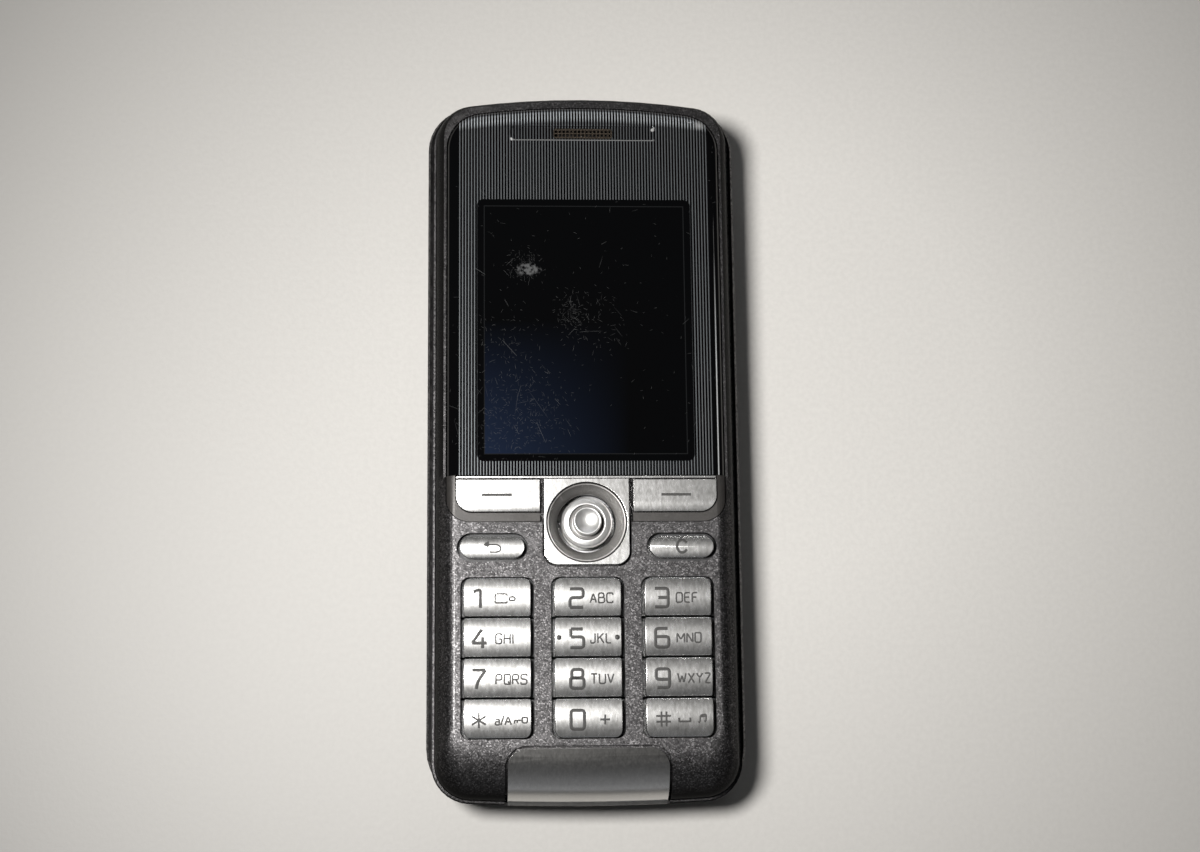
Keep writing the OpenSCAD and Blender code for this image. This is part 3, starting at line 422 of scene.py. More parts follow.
def make_effects():
    """The effects that several finishes share."""
    made = {}

    tree, given, out = effect("Satin grain", {"Scale": 6000.0}, ["Tone", "Patch"])
    tree.links.new(span(tree, noise(tree, given["Vector"], given["Scale"], 3.0), 0.25, 0.75), out["Tone"])
    tree.links.new(span(tree, noise(tree, given["Vector"], 160.0, 2.0), 0.3, 0.7), out["Patch"])
    made["grain"] = tree

    tree, given, out = effect("Metal flakes", {"Scale": 4500.0, "Rarity": 2.0}, ["Glint", "Height"])
    inputs = {"Vector": given["Vector"], "Scale": given["Scale"]}
    cells = put(tree, "ShaderNodeTexVoronoi", inputs, feature="F1").outputs
    chance = put(tree, "ShaderNodeSeparateColor", {0: cells["Color"]}).outputs
    tree.links.new(calc(tree, "POWER", chance[0], given["Rarity"]), out["Glint"])
    tree.links.new(chance[1], out["Height"])
    made["flakes"] = tree

    tree, given, out = effect("Edge rub", {"Start": 0.53, "Full": 0.6}, ["Mask"])
    sharp = put(tree, "ShaderNodeNewGeometry").outputs["Pointiness"]
    broken = span(tree, noise(tree, given["Vector"], 900.0, 4.0), 0.4, 0.62)
    tree.links.new(times(tree, span(tree, sharp, given["Start"], given["Full"]), broken), out["Mask"])
    made["rub"] = tree

    tree, given, out = effect("Dust", {"Scale": 1800.0, "Limit": 0.68}, ["Mask"])
    specks = calc(tree, "SUBTRACT", noise(tree, given["Vector"], given["Scale"], 1.0), given["Limit"])
    drift = noise(tree, given["Vector"], 70.0, 2.0)
    tree.links.new(times(tree, span(tree, specks, 0.0, 0.04), span(tree, drift, 0.42, 0.62)), out["Mask"])
    made["dust"] = tree

    numbers = {"Scale": 700.0, "Width": 0.025, "Length": 0.45, "Share": 0.1}
    tree, given, out = effect("Scratches", numbers, ["Mask"])
    flat = scaled(tree, given["Vector"], 1.0, 1.0, 0.0)
    inputs = {"Vector": flat, "Scale": given["Scale"]}
    cells = put(tree, "ShaderNodeTexVoronoi", inputs, feature="F1", voronoi_dimensions="2D").outputs
    chance = put(tree, "ShaderNodeSeparateColor", {0: cells["Color"]}).outputs
    away = put(tree, "ShaderNodeVectorMath", {0: flat, 1: cells["Position"]}, operation="SUBTRACT").outputs[0]
    inputs = {"Vector": away, "Angle": times(tree, chance[0], math.pi)}
    reach = axes(tree, put(tree, "ShaderNodeVectorRotate", inputs, rotation_type="Z_AXIS").outputs[0])
    along, across = (times(tree, calc(tree, "ABSOLUTE", reach[i]), given["Scale"]) for i in (0, 1))
    line = span(tree, across, given["Width"], times(tree, given["Width"], 0.3))
    ends = span(tree, along, given["Length"], 0.1)
    shown = times(tree, calc(tree, "LESS_THAN", chance[1], given["Share"]), within(tree, chance[2], 0.3, 1.0))
    tree.links.new(times(tree, line, ends, shown), out["Mask"])
    made["scratches"] = tree

    tree, given, out = effect("Pinstripes", {"Pitch": 0.000415, "Share": 0.5}, ["Mask"])
    turn = times(tree, calc(tree, "DIVIDE", axes(tree, given["Vector"])[0], given["Pitch"]), 2 * math.pi)
    level = calc(tree, "COSINE", times(tree, given["Share"], math.pi))
    wave = calc(tree, "SUBTRACT", calc(tree, "COSINE", turn), level)
    tree.links.new(span(tree, wave, -0.1, 0.1), out["Mask"])
    made["stripes"] = tree
    return made


def begin(name):
    """A new material; returns it, its tree, its shader and its Object coordinates."""
    material = bpy.data.materials.new(name)
    material.use_nodes = True
    tree = material.node_tree
    where = put(tree, "ShaderNodeTexCoord").outputs["Object"]
    return material, tree, tree.nodes["Principled BSDF"], where


def use(tree, group, vector, **values):
    """Places an effect in a tree with its own values; returns its outputs."""
    inputs = {"Vector": vector, **{key.title(): value for key, value in values.items()}}
    return put(tree, "ShaderNodeGroup", inputs, node_tree=group).outputs


def bump(tree, shader, height, distance, strength=1.0):
    node = put(tree, "ShaderNodeBump", {"Height": height, "Distance": distance, "Strength": strength})
    tree.links.new(node.outputs[0], shader.inputs["Normal"])


def feed(shader, **values):
    """Sets sockets of the shader: what changes over the surface is linked, and the rest is a plain value."""
    for key, value in values.items():
        socket = shader.inputs[key.replace("_", " ")]
        if isinstance(value, bpy.types.NodeSocket):
            shader.id_data.links.new(value, socket)
        else:
            socket.default_value = value


def sparkle_paint(
    fx, name, base, painted_shade_heights, line, roughness=0.44, contrast=2.2, rub=0.3, metallic=0.95, coat=0.1, rim=None, worn=2.4
):
    """Dark metallic paint with flakes, made nearly black by painted shade from one height to another and over a rim,
    with edges lightened by rub, on the rear also as a painted highlight.

    The line is a thin painted highlight of bright specks round the shell: its height and half width in mm, its gain,
    its share on the left.
    """
    material, tree, shader, where = begin(name)
    flake = sizes().flake
    fine = use(tree, fx["flakes"], where, scale=1 / flake, rarity=2.2)
    wide = use(tree, fx["flakes"], where, scale=0.45 / flake, rarity=1.4)
    tone = use(tree, fx["grain"], where, scale=2200.0)
    glint = mixed_value(tree, 0.35, fine["Glint"], wide["Glint"])
    body = mixed(tree, glint, rgba(base, 0.45), rgba(base, contrast))
    body = tinged(tree, body, calc(tree, "POWER", fine["Glint"], 4.0), 0.45, rgba(base, contrast * 3))
    body = tinged(tree, body, tone["Patch"], 0.12, rgba(base, 0.5))
    x, y, z = axes(tree, where)
    # Painted shade: the rim beside the window, above its lower edge and below the top face, is made nearly black.
    if rim is not None:
        painted_rim_shade = span(tree, y, rim - 0.5 * MM, rim + 0.5 * MM)
        body = mixed(tree, times(tree, painted_rim_shade, span(tree, z, 16.02 * MM, 15.9 * MM)), body, rgba(base, 0.3))
    # Painted shade: from the first height to the second the paint turns nearly black, down the sides of the front
    # shell and over the top of the rear shell's lip.
    body = mixed(tree, span(tree, z, painted_shade_heights[0] * MM, painted_shade_heights[1] * MM), body, rgba(base, 0.14))
    # Edges lightened by rub: wear, and where rub and worn are large, as on the rear, also a painted highlight.
    edge = use(tree, fx["rub"], where, start=0.54, full=0.66)["Mask"]
    off_the_back = span(tree, z, 0.05 * MM, 0.5 * MM)
    body = tinged(tree, body, times(tree, edge, off_the_back), rub, rgba(base, worn))
    # Painted highlight: a thin line of bright specks round the shell at one height, weaker on the left by its share.
    height, reach, gain, left = line
    painted_edge_highlight = times(
        tree, span(tree, off(tree, z, height * MM), reach * MM, reach / 2 * MM),
        span(tree, fine["Glint"], 0.0, 0.4, 0.2, 1.0), span(tree, x, -10 * MM, 10 * MM, left, 1.0),
    )
    body = mixed(tree, painted_edge_highlight, body, rgba(base, gain))
    dust = use(tree, fx["dust"], where, limit=0.7)["Mask"]
    feed(
        shader, Base_Color=tinged(tree, body, dust, 0.12, rgba((0.2, 0.195, 0.19))),
        Roughness=within(tree, fine["Height"], roughness - 0.08, roughness + 0.10), Metallic=metallic,
        Coat_Weight=coat, Coat_Roughness=0.12, Specular_IOR_Level=0.2, Specular_Tint=rgba((0.22, 0.22, 0.22)),
    )
    bump(tree, shader, fine["Height"], 0.03 * MM, 0.35)
    return material


def satin_metal(
    fx, name, base, roughness=0.262, metallic=1.0, grain=3800.0, rub=0.15, depth=0.22, groove=None, dim=None
):
    """Satin metallic paint with a fine grain drawn out along Y.

    A groove is round and gets a painted shade: its middle, its inner and its outer radius. Towards the Y of dim the
    paint is made darker as painted shade.
    """
    material, tree, shader, where = begin(name)
    drawn = scaled(tree, where, 1.0, 0.4, 1.0)
    tone = use(tree, fx["grain"], drawn, scale=grain)
    wide = use(tree, fx["grain"], drawn, scale=grain * 0.42)
    fleck = mixed_value(tree, 0.45, tone["Tone"], wide["Tone"])
    body = mixed(tree, fleck, rgba(base, 0.86), rgba(base, 1.14))
    body = tinged(tree, body, tone["Patch"], 0.10, rgba(base, 0.72))
    body = tinged(tree, body, use(tree, fx["rub"], where)["Mask"], rub, rgba(base, 0.55))
    # Painted shade: the round groove of the knob is painted dark.
    if groove is not None:
        at, inner, outer = groove
        half = (outer - inner) / 2
        away = off(tree, apart(tree, where, at), (inner + outer) / 2)
        painted_groove_shade = span(tree, away, half + 0.05 * MM, half - 0.1 * MM, 0.0, 0.88)
        body = mixed(tree, painted_groove_shade, body, rgba((0.05, 0.046, 0.043)))
    else:
        body = tinged(tree, body, use(tree, fx["dust"], where, limit=0.72)["Mask"], 0.05, rgba(base, 0.5))
    # Painted shade: the paint darkens towards the Y of dim, over the upper roll of the tab.
    if dim is not None:
        shade = span(tree, axes(tree, where)[1], dim - 1.6 * MM, dim - 0.9 * MM)
        body = mixed(tree, shade, body, rgba(base, 0.58))
    rough = within(tree, fleck, roughness - 0.025, roughness + 0.03)
    feed(shader, Base_Color=body, Roughness=rough, Metallic=metallic)
    bump(tree, shader, fleck, 0.012 * MM, depth)
    return material


def moulded_plastic(fx, name, base, roughness=0.5, grain=5000.0, depth=0.02 * MM, metallic=0.0, painted_side_shade=None):
    """Moulded plastic with a spark-eroded texture, darker by a painted shade on the left of a middle."""
    material, tree, shader, where = begin(name)
    tone = use(tree, fx["grain"], where, scale=grain)
    body = mixed(tree, tone["Tone"], rgba(base, 0.85), rgba(base, 1.15))
    # Painted shade: darker towards the upper left of the middle, where the dish's wall faces away from the light.
    if painted_side_shade is not None:
        at, reach = painted_side_shade
        x, y, z = axes(tree, where)
        along = calc(tree, "SUBTRACT", x, times(tree, calc(tree, "SUBTRACT", y, at.y), 0.35))
        body = mixed(tree, span(tree, along, at.x + reach, at.x - reach, 0.0, 0.75), body, rgba(base, 0.12))
    body = tinged(tree, body, use(tree, fx["rub"], where)["Mask"], 0.4, rgba(base, 1.8))
    dust = use(tree, fx["dust"], where)["Mask"]
    feed(
        shader, Base_Color=tinged(tree, body, dust, 0.15, rgba((0.4, 0.39, 0.37))),
        Roughness=within(tree, tone["Patch"], roughness - 0.07, roughness + 0.07), Metallic=metallic,
    )
    bump(tree, shader, tone["Tone"], depth, 0.5)
    return material


def bare_metal(fx, name, base, roughness=0.3):
    """Sheet or plated metal with rolling marks."""
    material, tree, shader, where = begin(name)
    tone = use(tree, fx["grain"], scaled(tree, where, 0.15, 1.0, 1.0), scale=3000.0)["Tone"]
    body = mixed(tree, tone, rgba(base, 0.85), rgba(base, 1.08))
    body = tinged(tree, body, use(tree, fx["rub"], where)["Mask"], 0.5, rgba(base, 1.35))
    feed(shader, Base_Color=body, Roughness=within(tree, tone, roughness - 0.08, roughness + 0.1), Metallic=1.0)
    bump(tree, shader, tone, 0.01 * MM, 0.4)
    return material


def circuit_board(fx, name):
    """Solder mask over copper tracks."""
    material, tree, shader, where = begin(name)
    inputs = {"Vector": where, "Scale": 520.0}
    cells = put(tree, "ShaderNodeTexVoronoi", inputs, feature="F1", distance="CHEBYCHEV").outputs["Distance"]
    track = span(tree, calc(tree, "PINGPONG", cells, 0.12), 0.045, 0.06)
    tone = use(tree, fx["grain"], where, scale=4000.0)
    body = mixed(tree, track, rgba((0.012, 0.075, 0.04)), rgba((0.03, 0.16, 0.085)))
    body = tinged(tree, body, tone["Tone"], 0.2, rgba((0.02, 0.1, 0.06)))
    feed(shader, Base_Color=body, Roughness=within(tree, tone["Patch"], 0.3, 0.42))
    bump(tree, shader, track, 0.03 * MM, 0.6)
    return material


# Places on the window that are scratched most: X, Y and reach in mm, and the share of cells that hold a scratch
SCRATCHED = (
    (-8.4, 23.8, 3.2, 0.8), (-1.7, 16.8, 3.2, 1.0), (0.5, 16.2, 7.5, 0.22), (-9.5, 2.5, 10.0, 0.42),
    (-11.0, 12.0, 8.0, 0.2),
)
# Scratches from long to short: cells per metre, width as a share of a cell, strength
SCRATCHES = ((260.0, 0.009, 0.34), (700.0, 0.018, 0.36), (1500.0, 0.034, 0.36), (2800.0, 0.07, 0.32))


def near_spot(tree, where, x, y, reach, stretch=(1.0, 1.0)):
    """How near a point is to a spot on the window, from 0 at its reach to 1 at its middle; sizes in mm."""
    return span(tree, apart(tree, where, (x * MM, y * MM), stretch), reach * MM, 0.0)


def display_opening(tree, x, y):
    """Masks of the print round the display, of the display's edge and of the display."""
    low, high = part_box("display_gasket")
    centre, half = (low + high) / 2, (high - low) / 2
    seal, corner = 1.2 * MM, 0.9 * MM
    past = [
        calc(tree, "SUBTRACT", off(tree, x, centre.x), half.x - seal - corner),
        calc(tree, "SUBTRACT", off(tree, y, centre.y), half.y - seal - corner),
    ]
    legs = [calc(tree, "POWER", calc(tree, "MAXIMUM", leg, 0.0), 2.0) for leg in past]
    outer = calc(tree, "SUBTRACT", calc(tree, "SQRT", calc(tree, "ADD", *legs)), corner)
    square = calc(tree, "MAXIMUM", *past)
    away = calc(tree, "ADD", outer, calc(tree, "MINIMUM", square, 0.0))
    inside = calc(tree, "ADD", square, 0.1 * MM)
    printed_on = span(tree, away, -0.03 * MM, 0.03 * MM)
    display_edge = span(tree, calc(tree, "ABSOLUTE", inside), 0.09 * MM, 0.0)
    return printed_on, display_edge, span(tree, inside, 0.0, -0.1 * MM)


def rolled_light(tree, where, x, y):
    """Masks of the light on the window's rolled upper edge with its right corner, and of that corner alone."""
    bow = times(tree, calc(tree, "POWER", calc(tree, "ABSOLUTE", x), 2.0), 4.5)
    inset = calc(tree, "SUBTRACT", calc(tree, "SUBTRACT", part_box("window_lens")[1].y, bow), y)
    along = times(tree, span(tree, inset, 2.5 * MM, 1.7 * MM), span(tree, inset, 0.5 * MM, 1.0 * MM))
    corner = span(tree, near_spot(tree, where, 16.6, 44.7, 1.1), 0.2, 0.8)
    return calc(tree, "MAXIMUM", along, corner), corner


def window_marks(fx, tree, where):
    """Mask of the scratches, of one scuff and of the dust on the window."""
    rate = 0.012
    for x, y, reach, most in SCRATCHED:
        rate = calc(tree, "MAXIMUM", rate, times(tree, near_spot(tree, where, x, y, reach), most))
    marks = 0.0
    for scale, width, gain in SCRATCHES:
        hair = use(tree, fx["scratches"], where, scale=scale, width=width, length=0.85, share=rate)["Mask"]
        marks = calc(tree, "MAXIMUM", marks, times(tree, hair, gain))
    ragged = span(tree, noise(tree, where, 2400.0, 3.0), 0.3, 0.7, 0.2, 1.8)
    scuff = times(tree, near_spot(tree, where, -7.8, 23.3, 1.9, (0.75, 1.35)), ragged)
    marks = calc(tree, "MAXIMUM", marks, span(tree, scuff, 0.3, 0.8, 0.0, 0.4))
    dust = use(tree, fx["dust"], where, scale=3200.0, limit=0.76)["Mask"]
    return calc(tree, "MINIMUM", calc(tree, "ADD", times(tree, marks, 0.8), times(tree, dust, 0.03)), 1.0)


def pinstripes(fx, tree, where):
    return use(tree, fx["stripes"], where, pitch=sizes().stripe_pitch, share=sizes().stripe_share)["Mask"]


def window_acrylic(fx, name):
    """Glossy window over its print: fine bright stripes, bare black over the display, hairline scratches, with
    painted highlights, painted shade and a painted sheen.
    """
    material, tree, shader, where = begin(name)
    x, y, z = axes(tree, where)
    side = calc(tree, "ABSOLUTE", x)
    printed_on, display_edge, display = display_opening(tree, x, y)
    slot = centre_of("earpiece_mesh").y
    slot_width = span(tree, side, 10.2 * MM, 9.9 * MM)
    recess = times(tree, slot_width, span(tree, off(tree, y, slot), 0.95 * MM, 0.85 * MM))
    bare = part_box("window_lens")[1].x - 1.6 * MM
    # In the earpiece recess the stripes are dimmed, a painted shade.
    stripes = times(
        tree, pinstripes(fx, tree, where), printed_on, span(tree, side, bare, bare - 0.15 * MM),
        within(tree, recess, 1.0, 0.65),
    )
    lit, lit_corner = rolled_light(tree, where, x, y)
    shine = mixed(tree, lit, rgba(colours().stripe), rgba(colours().stripe, 4.2))
    body = mixed(tree, stripes, rgba((0.0022, 0.0023, 0.0026)), shine)
    body = tinged(tree, body, lit_corner, 0.4, rgba((0.6, 0.6, 0.6)))

    # Painted sheen: a faint blue over the lower left of the display.
    tint = times(tree, span(tree, x, 6.0 * MM, -15.0 * MM), span(tree, y, 16.0 * MM, -4.0 * MM), display)
    body = mixed(tree, tint, body, rgba((0.0115, 0.0185, 0.040)))
    body = tinged(tree, body, display_edge, 0.3, rgba((0.05, 0.052, 0.055)))
    # Painted highlight: a thin bright line along the lower edge of the earpiece recess and two spots at its ends.
    lip = times(tree, span(tree, off(tree, y, slot - 1.04 * MM), 0.15 * MM, 0.08 * MM), slot_width, 0.4)
    for end_x, end_y in ((-10.1, -0.95), (9.9, 0.6)):
        end_highlight = near_spot(tree, where, end_x, slot / MM + end_y, 0.32)
        lip = calc(tree, "MAXIMUM", lip, span(tree, end_highlight, 0.1, 0.6))
    body = mixed(tree, lip, body, rgba((0.5, 0.5, 0.5)))
    # Painted highlight: a thin bright line down the lower part of the window's right roll.
    painted_streak = span(tree, off(tree, x, 18.3 * MM), 0.12 * MM, 0.04 * MM)
    painted_streak = times(tree, painted_streak, span(tree, y, 26.0 * MM, 10.0 * MM, 0.0, 0.85))
    body = mixed(tree, painted_streak, body, rgba((0.55, 0.56, 0.57)))

    marks = window_marks(fx, tree, where)
    feed(
        shader, Base_Color=mixed(tree, marks, body, rgba((0.30, 0.305, 0.31))), Metallic=times(tree, stripes, 0.55),
        Roughness=within(tree, stripes, 0.5, 0.38), Coat_Weight=within(tree, marks, 1.0, 0.3), Coat_Roughness=0.03,
        Coat_IOR=1.49, Specular_IOR_Level=0.0,
    )
    return material


def clear_tint(fx, name, base):
    """Dark glossy window plastic."""
    material, tree, shader, where = begin(name)
    patch = use(tree, fx["grain"], where, scale=700.0)["Patch"]
    hair = use(tree, fx["scratches"], where, scale=900.0, share=0.12)["Mask"]
    body = mixed(tree, patch, rgba(base, 0.8), rgba(base, 1.25))
    body = tinged(tree, body, hair, 0.3, rgba((0.3, 0.3, 0.3)))
    feed(shader, Base_Color=body, Roughness=within(tree, patch, 0.08, 0.16), Coat_Weight=1.0, Coat_Roughness=0.03)
    return material


def camera_glass(fx, name, at):
    """Black glass with a ring printed round the lens behind it."""
    material, tree, shader, where = begin(name)
    away = apart(tree, where, at)
    ring = span(tree, off(tree, away, 2.0 * MM), 0.3 * MM, 0.24 * MM)
    body = mixed(tree, ring, rgba((0.006, 0.006, 0.007)), rgba((0.32, 0.32, 0.33)))
    body = mixed(tree, span(tree, away, 1.3 * MM, 1.2 * MM), body, rgba((0.012, 0.016, 0.035)))
    patch = use(tree, fx["grain"], where, scale=900.0)["Patch"]
    feed(
        shader, Base_Color=body, Metallic=times(tree, ring, 0.8), Roughness=within(tree, patch, 0.25, 0.32),
        Coat_Weight=1.0, Coat_Roughness=0.03, Specular_IOR_Level=0.2,
    )
    return material


def striped_foil(fx, name):
    """Black foil with bright metal stripes."""
    material, tree, shader, where = begin(name)
    stripes = pinstripes(fx, tree, where)
    body = mixed(tree, stripes, rgba((0.01, 0.01, 0.011)), rgba(colours().stripe))
    feed(shader, Base_Color=body, Roughness=within(tree, stripes, 0.5, 0.3), Metallic=stripes)
    return material


def woven_mesh(fx, name, base):
    """Bronze grille with a fine weave."""
    material, tree, shader, where = begin(name)
    inputs = {"Vector": where, "Scale": 1500.0}
    bands = [put(tree, "ShaderNodeTexWave", inputs, bands_direction=axis).outputs[1] for axis in ("X", "Y")]
    weave = times(tree, *bands)
    body = mixed(tree, weave, rgba(base, 0.5), rgba(base, 1.5))
    body = tinged(tree, body, use(tree, fx["grain"], where, scale=3000.0)["Tone"], 0.3, rgba(base, 0.6))
    feed(shader, Base_Color=body, Roughness=within(tree, weave, 0.5, 0.35), Metallic=0.9)
    bump(tree, shader, weave, 0.06 * MM, 0.8)
    return material


def printed_ink(fx, name, base):
    """Dark print, worn thin in specks."""
    material, tree, shader, where = begin(name)
    tone = use(tree, fx["grain"], where, scale=7000.0)
    body = mixed(tree, within(tree, tone["Tone"], 0.0, 0.35), rgba(base), rgba((0.16, 0.155, 0.15)))
    feed(shader, Base_Color=body, Roughness=within(tree, tone["Patch"], 0.45, 0.6))
    return material


def table_top(name, base):
    """Pale matt table, darker away from the phone by a painted shade, as the lamp's light falls off."""
    material, tree, shader, where = begin(name)
    fine = noise(tree, where, 1400.0, 5.0)
    body = mixed(tree, span(tree, fine, 0.35, 0.65), rgba(base, 0.965), rgba(base, 1.02))
    body = tinged(tree, body, noise(tree, where, 9.0, 2.0), 0.12, rgba(base, 0.93))
    # Painted shade: the table darkens away from a point beside the phone, where the light is brightest.
    far = span(tree, apart(tree, where, (0.030, 0.014)), 0.03, 0.14)
    feed(shader, Base_Color=mixed(tree, far, body, rgba(base, 0.5)), Roughness=0.55)
    bump(tree, shader, fine, 0.08 * MM, 0.35)
    return material


def make_finishes():
    """Every finish by the record's slot, plus the ones that only the dressed pieces have."""
    fx = make_effects()
    c = colours()
    window_low, tab_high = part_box("window_lens")[0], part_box("bottom_tab")[1]
    knob_groove_shade = (centre_of("joystick_cap"), 1.93 * MM, 2.46 * MM)
    return {
        # The front's line is a painted highlight of specks along the flange of the shell.
        "sparkle_paint": sparkle_paint(
            fx, "Sparkle paint", c.sparkle, (16.3, 13.4), (11.19, 0.06, 1.7, 1.0), rim=window_low.y
        ),
        # On the rear the strong edge rub is wear and also a painted highlight on the edges, and its line is a painted
        # highlight along the rim, stronger on the right.
        "rear_paint": sparkle_paint(
            fx, "Rear satin paint", c.rear, (10.08, 10.16), (10.0, 0.2, 9.0, 0.3), roughness=0.5, contrast=1.5,
            rub=0.5, metallic=0.6, coat=0.05, worn=4.0,
        ),
        "silver_paint": satin_metal(fx, "Silver key paint", c.silver),
        "knob_paint": satin_metal(
            fx, "Silver knob paint", c.silver, roughness=0.36, metallic=0.85, groove=knob_groove_shade
        ),
        "tab_paint": satin_metal(
            fx, "Grey tab paint", c.tab, roughness=0.24, grain=6000.0, rub=0.1, depth=0.12, dim=tab_high.y
        ),
        "band_plastic": moulded_plastic(
            fx, "Grey band plastic", c.band, roughness=0.42, grain=6000.0, metallic=0.35
        ),
        "dish_paint": moulded_plastic(
            fx, "Dish paint", c.dish, roughness=0.42, grain=5200.0, depth=0.01 * MM, metallic=0.75,
            painted_side_shade=(centre_of("nav_dish"), 5.5 * MM),
        ),
        "window_acrylic": window_acrylic(fx, "Window acrylic"),
        "print_foil": striped_foil(fx, "Striped foil"),
        "bronze_mesh": woven_mesh(fx, "Bronze mesh", (0.07, 0.056, 0.043)),
        "display_glass": clear_tint(fx, "Display glass", (0.012, 0.013, 0.017)),
        "foam": moulded_plastic(
            fx, "Black foam", (0.02, 0.02, 0.021), roughness=0.9, grain=3000.0, depth=0.1 * MM
        ),
        "black_plastic": moulded_plastic(fx, "Black plastic", (0.022, 0.022, 0.024), roughness=0.42),
        "tinted_window": clear_tint(fx, "Tinted window", (0.02, 0.008, 0.011)),
        "camera_glass": camera_glass(fx, "Camera glass", centre_of("camera_window")),
        "stem_plastic": moulded_plastic(fx, "White stem plastic", (0.55, 0.55, 0.53), roughness=0.45),
        "steel": bare_metal(fx, "Plated steel", (0.56, 0.56, 0.57)),
        "silicone": moulded_plastic(fx, "Grey silicone", (0.05, 0.05, 0.051), roughness=0.6),
        "gold_foil": bare_metal(fx, "Gold contacts", (0.80, 0.58, 0.24), roughness=0.28),
        "circuit_board": circuit_board(fx, "Circuit board"),
        "cell_can": moulded_plastic(fx, "Battery wrap", (0.045, 0.047, 0.052), roughness=0.4),
        "card_plastic": moulded_plastic(fx, "Card plastic", (0.75, 0.74, 0.69), roughness=0.4),
        "ink": printed_ink(fx, "Key print", c.print_ink),
        "table": table_top("Pale table", c.table),
    }


# The print on the keys: strokes in a box one wide and one high

DIGITS = {
    "1": [[(0.1, 0.86), (0.62, 1), (0.62, 0)]],
    "2": [[(0, 1), (1, 1), (1, 0.52), (0, 0.52), (0, 0)], [(0, 0), (1, 0)]],
    "3": [[(0, 1), (1, 1), (1, 0), (0, 0)], [(0.25, 0.5), (1, 0.5)]],
    "4": [[(0.72, 1), (0, 0.28)], [(0, 0.28), (1.1, 0.28)], [(0.78, 0.6), (0.78, 0)]],
    "5": [[(0.95, 1), (0.04, 1)], [(0.04, 1), (0.04, 0.57)], [(0.04, 0.57), (1, 0.57), (1, 0), (0, 0)]],
    "6": [[(0.92, 1), (0, 1), (0, 0), (1, 0), (1, 0.56), (0, 0.56)]],
    "7": [[(0, 1), (1, 1)], [(1, 1), (0.42, 0.4), (0.3, 0)]],
    "8": [[(0.08, 0.55), (0.08, 1), (0.92, 1), (0.92, 0.55), (0.08, 0.55)],
          [(0, 0.55), (1, 0.55), (1, 0), (0, 0), (0, 0.55)]],
    "9": [[(0.08, 0), (1, 0), (1, 1), (0, 1), (0, 0.44), (1, 0.44)]],
    "0": [[(0.5, 1), (1, 1), (1, 0), (0, 0), (0, 1), (0.5, 1)]],
}
LETTERS = {
    "A": [[(0, 0), (0.5, 1), (1, 0)], [(0.2, 0.35), (0.8, 0.35)]],
    "B": [[(0, 0), (0, 1), (0.9, 1), (0.9, 0.53), (0, 0.53)], [(0.5, 0.53), (1, 0.53), (1, 0), (0, 0)]],
    "C": [[(1, 0.8), (1, 1), (0, 1), (0, 0), (1, 0), (1, 0.2)]],
    "D": [[(0, 0), (0, 1), (1, 1), (1, 0), (0, 0)]],
    "E": [[(1, 1), (0, 1), (0, 0), (1, 0)], [(0, 0.52), (0.85, 0.52)]],
    "F": [[(1, 1), (0, 1), (0, 0)], [(0, 0.52), (0.8, 0.52)]],
    "G": [[(1, 0.82), (1, 1), (0, 1), (0, 0), (1, 0), (1, 0.46), (0.55, 0.46)]],
    "H": [[(0, 0), (0, 1)], [(1, 0), (1, 1)], [(0, 0.52), (1, 0.52)]],
    "I": [[(0.5, 0), (0.5, 1)]],
    "J": [[(0.9, 1), (0.9, 0), (0, 0), (0, 0.3)]],
    "K": [[(0, 0), (0, 1)], [(0.95, 1), (0, 0.42)], [(0.35, 0.63), (1, 0)]],
    "L": [[(0, 1), (0, 0), (0.9, 0)]],
    "M": [[(0, 0), (0, 1), (0.5, 0.3), (1, 1), (1, 0)]],
    "N": [[(0, 0), (0, 1), (1, 0), (1, 1)]],
    "O": [[(0.5, 1), (1, 1), (1, 0), (0, 0), (0, 1), (0.5, 1)]],
    "P": [[(0, 0), (0, 1), (1, 1), (1, 0.45), (0, 0.45)]],
    "Q": [[(0.5, 1), (1, 1), (1, 0), (0, 0), (0, 1), (0.5, 1)], [(0.6, 0.3), (1.02, -0.06)]],
    "R": [[(0, 0), (0, 1), (1, 1), (1, 0.47), (0, 0.47)], [(0.55, 0.47), (1, 0)]],
    "S": [[(1, 0.82), (1, 1), (0, 1), (0, 0.53), (1, 0.49), (1, 0), (0, 0), (0, 0.18)]],
    "T": [[(0, 1), (1, 1)], [(0.5, 1), (0.5, 0)]],
    "U": [[(0, 1), (0, 0), (1, 0), (1, 1)]],
    "V": [[(0, 1), (0.5, 0), (1, 1)]],
    "W": [[(0, 1), (0.26, 0), (0.5, 0.8), (0.74, 0), (1, 1)]],
    "X": [[(0, 0), (1, 1)], [(0, 1), (1, 0)]],
    "Y": [[(0, 1), (0.5, 0.5), (1, 1)], [(0.5, 0.5), (0.5, 0)]],
    "Z": [[(0, 1), (1, 1), (0, 0), (1, 0)]],
    "a": [[(0.1, 0.65), (0.9, 0.65), (0.9, 0)], [(0.9, 0.38), (0, 0.38), (0, 0), (0.9, 0)]],
    "/": [[(0, -0.05), (1, 1.05)]],
    "+": [[(0, 0.5), (1, 0.5)], [(0.5, 0), (0.5, 1)]],
}
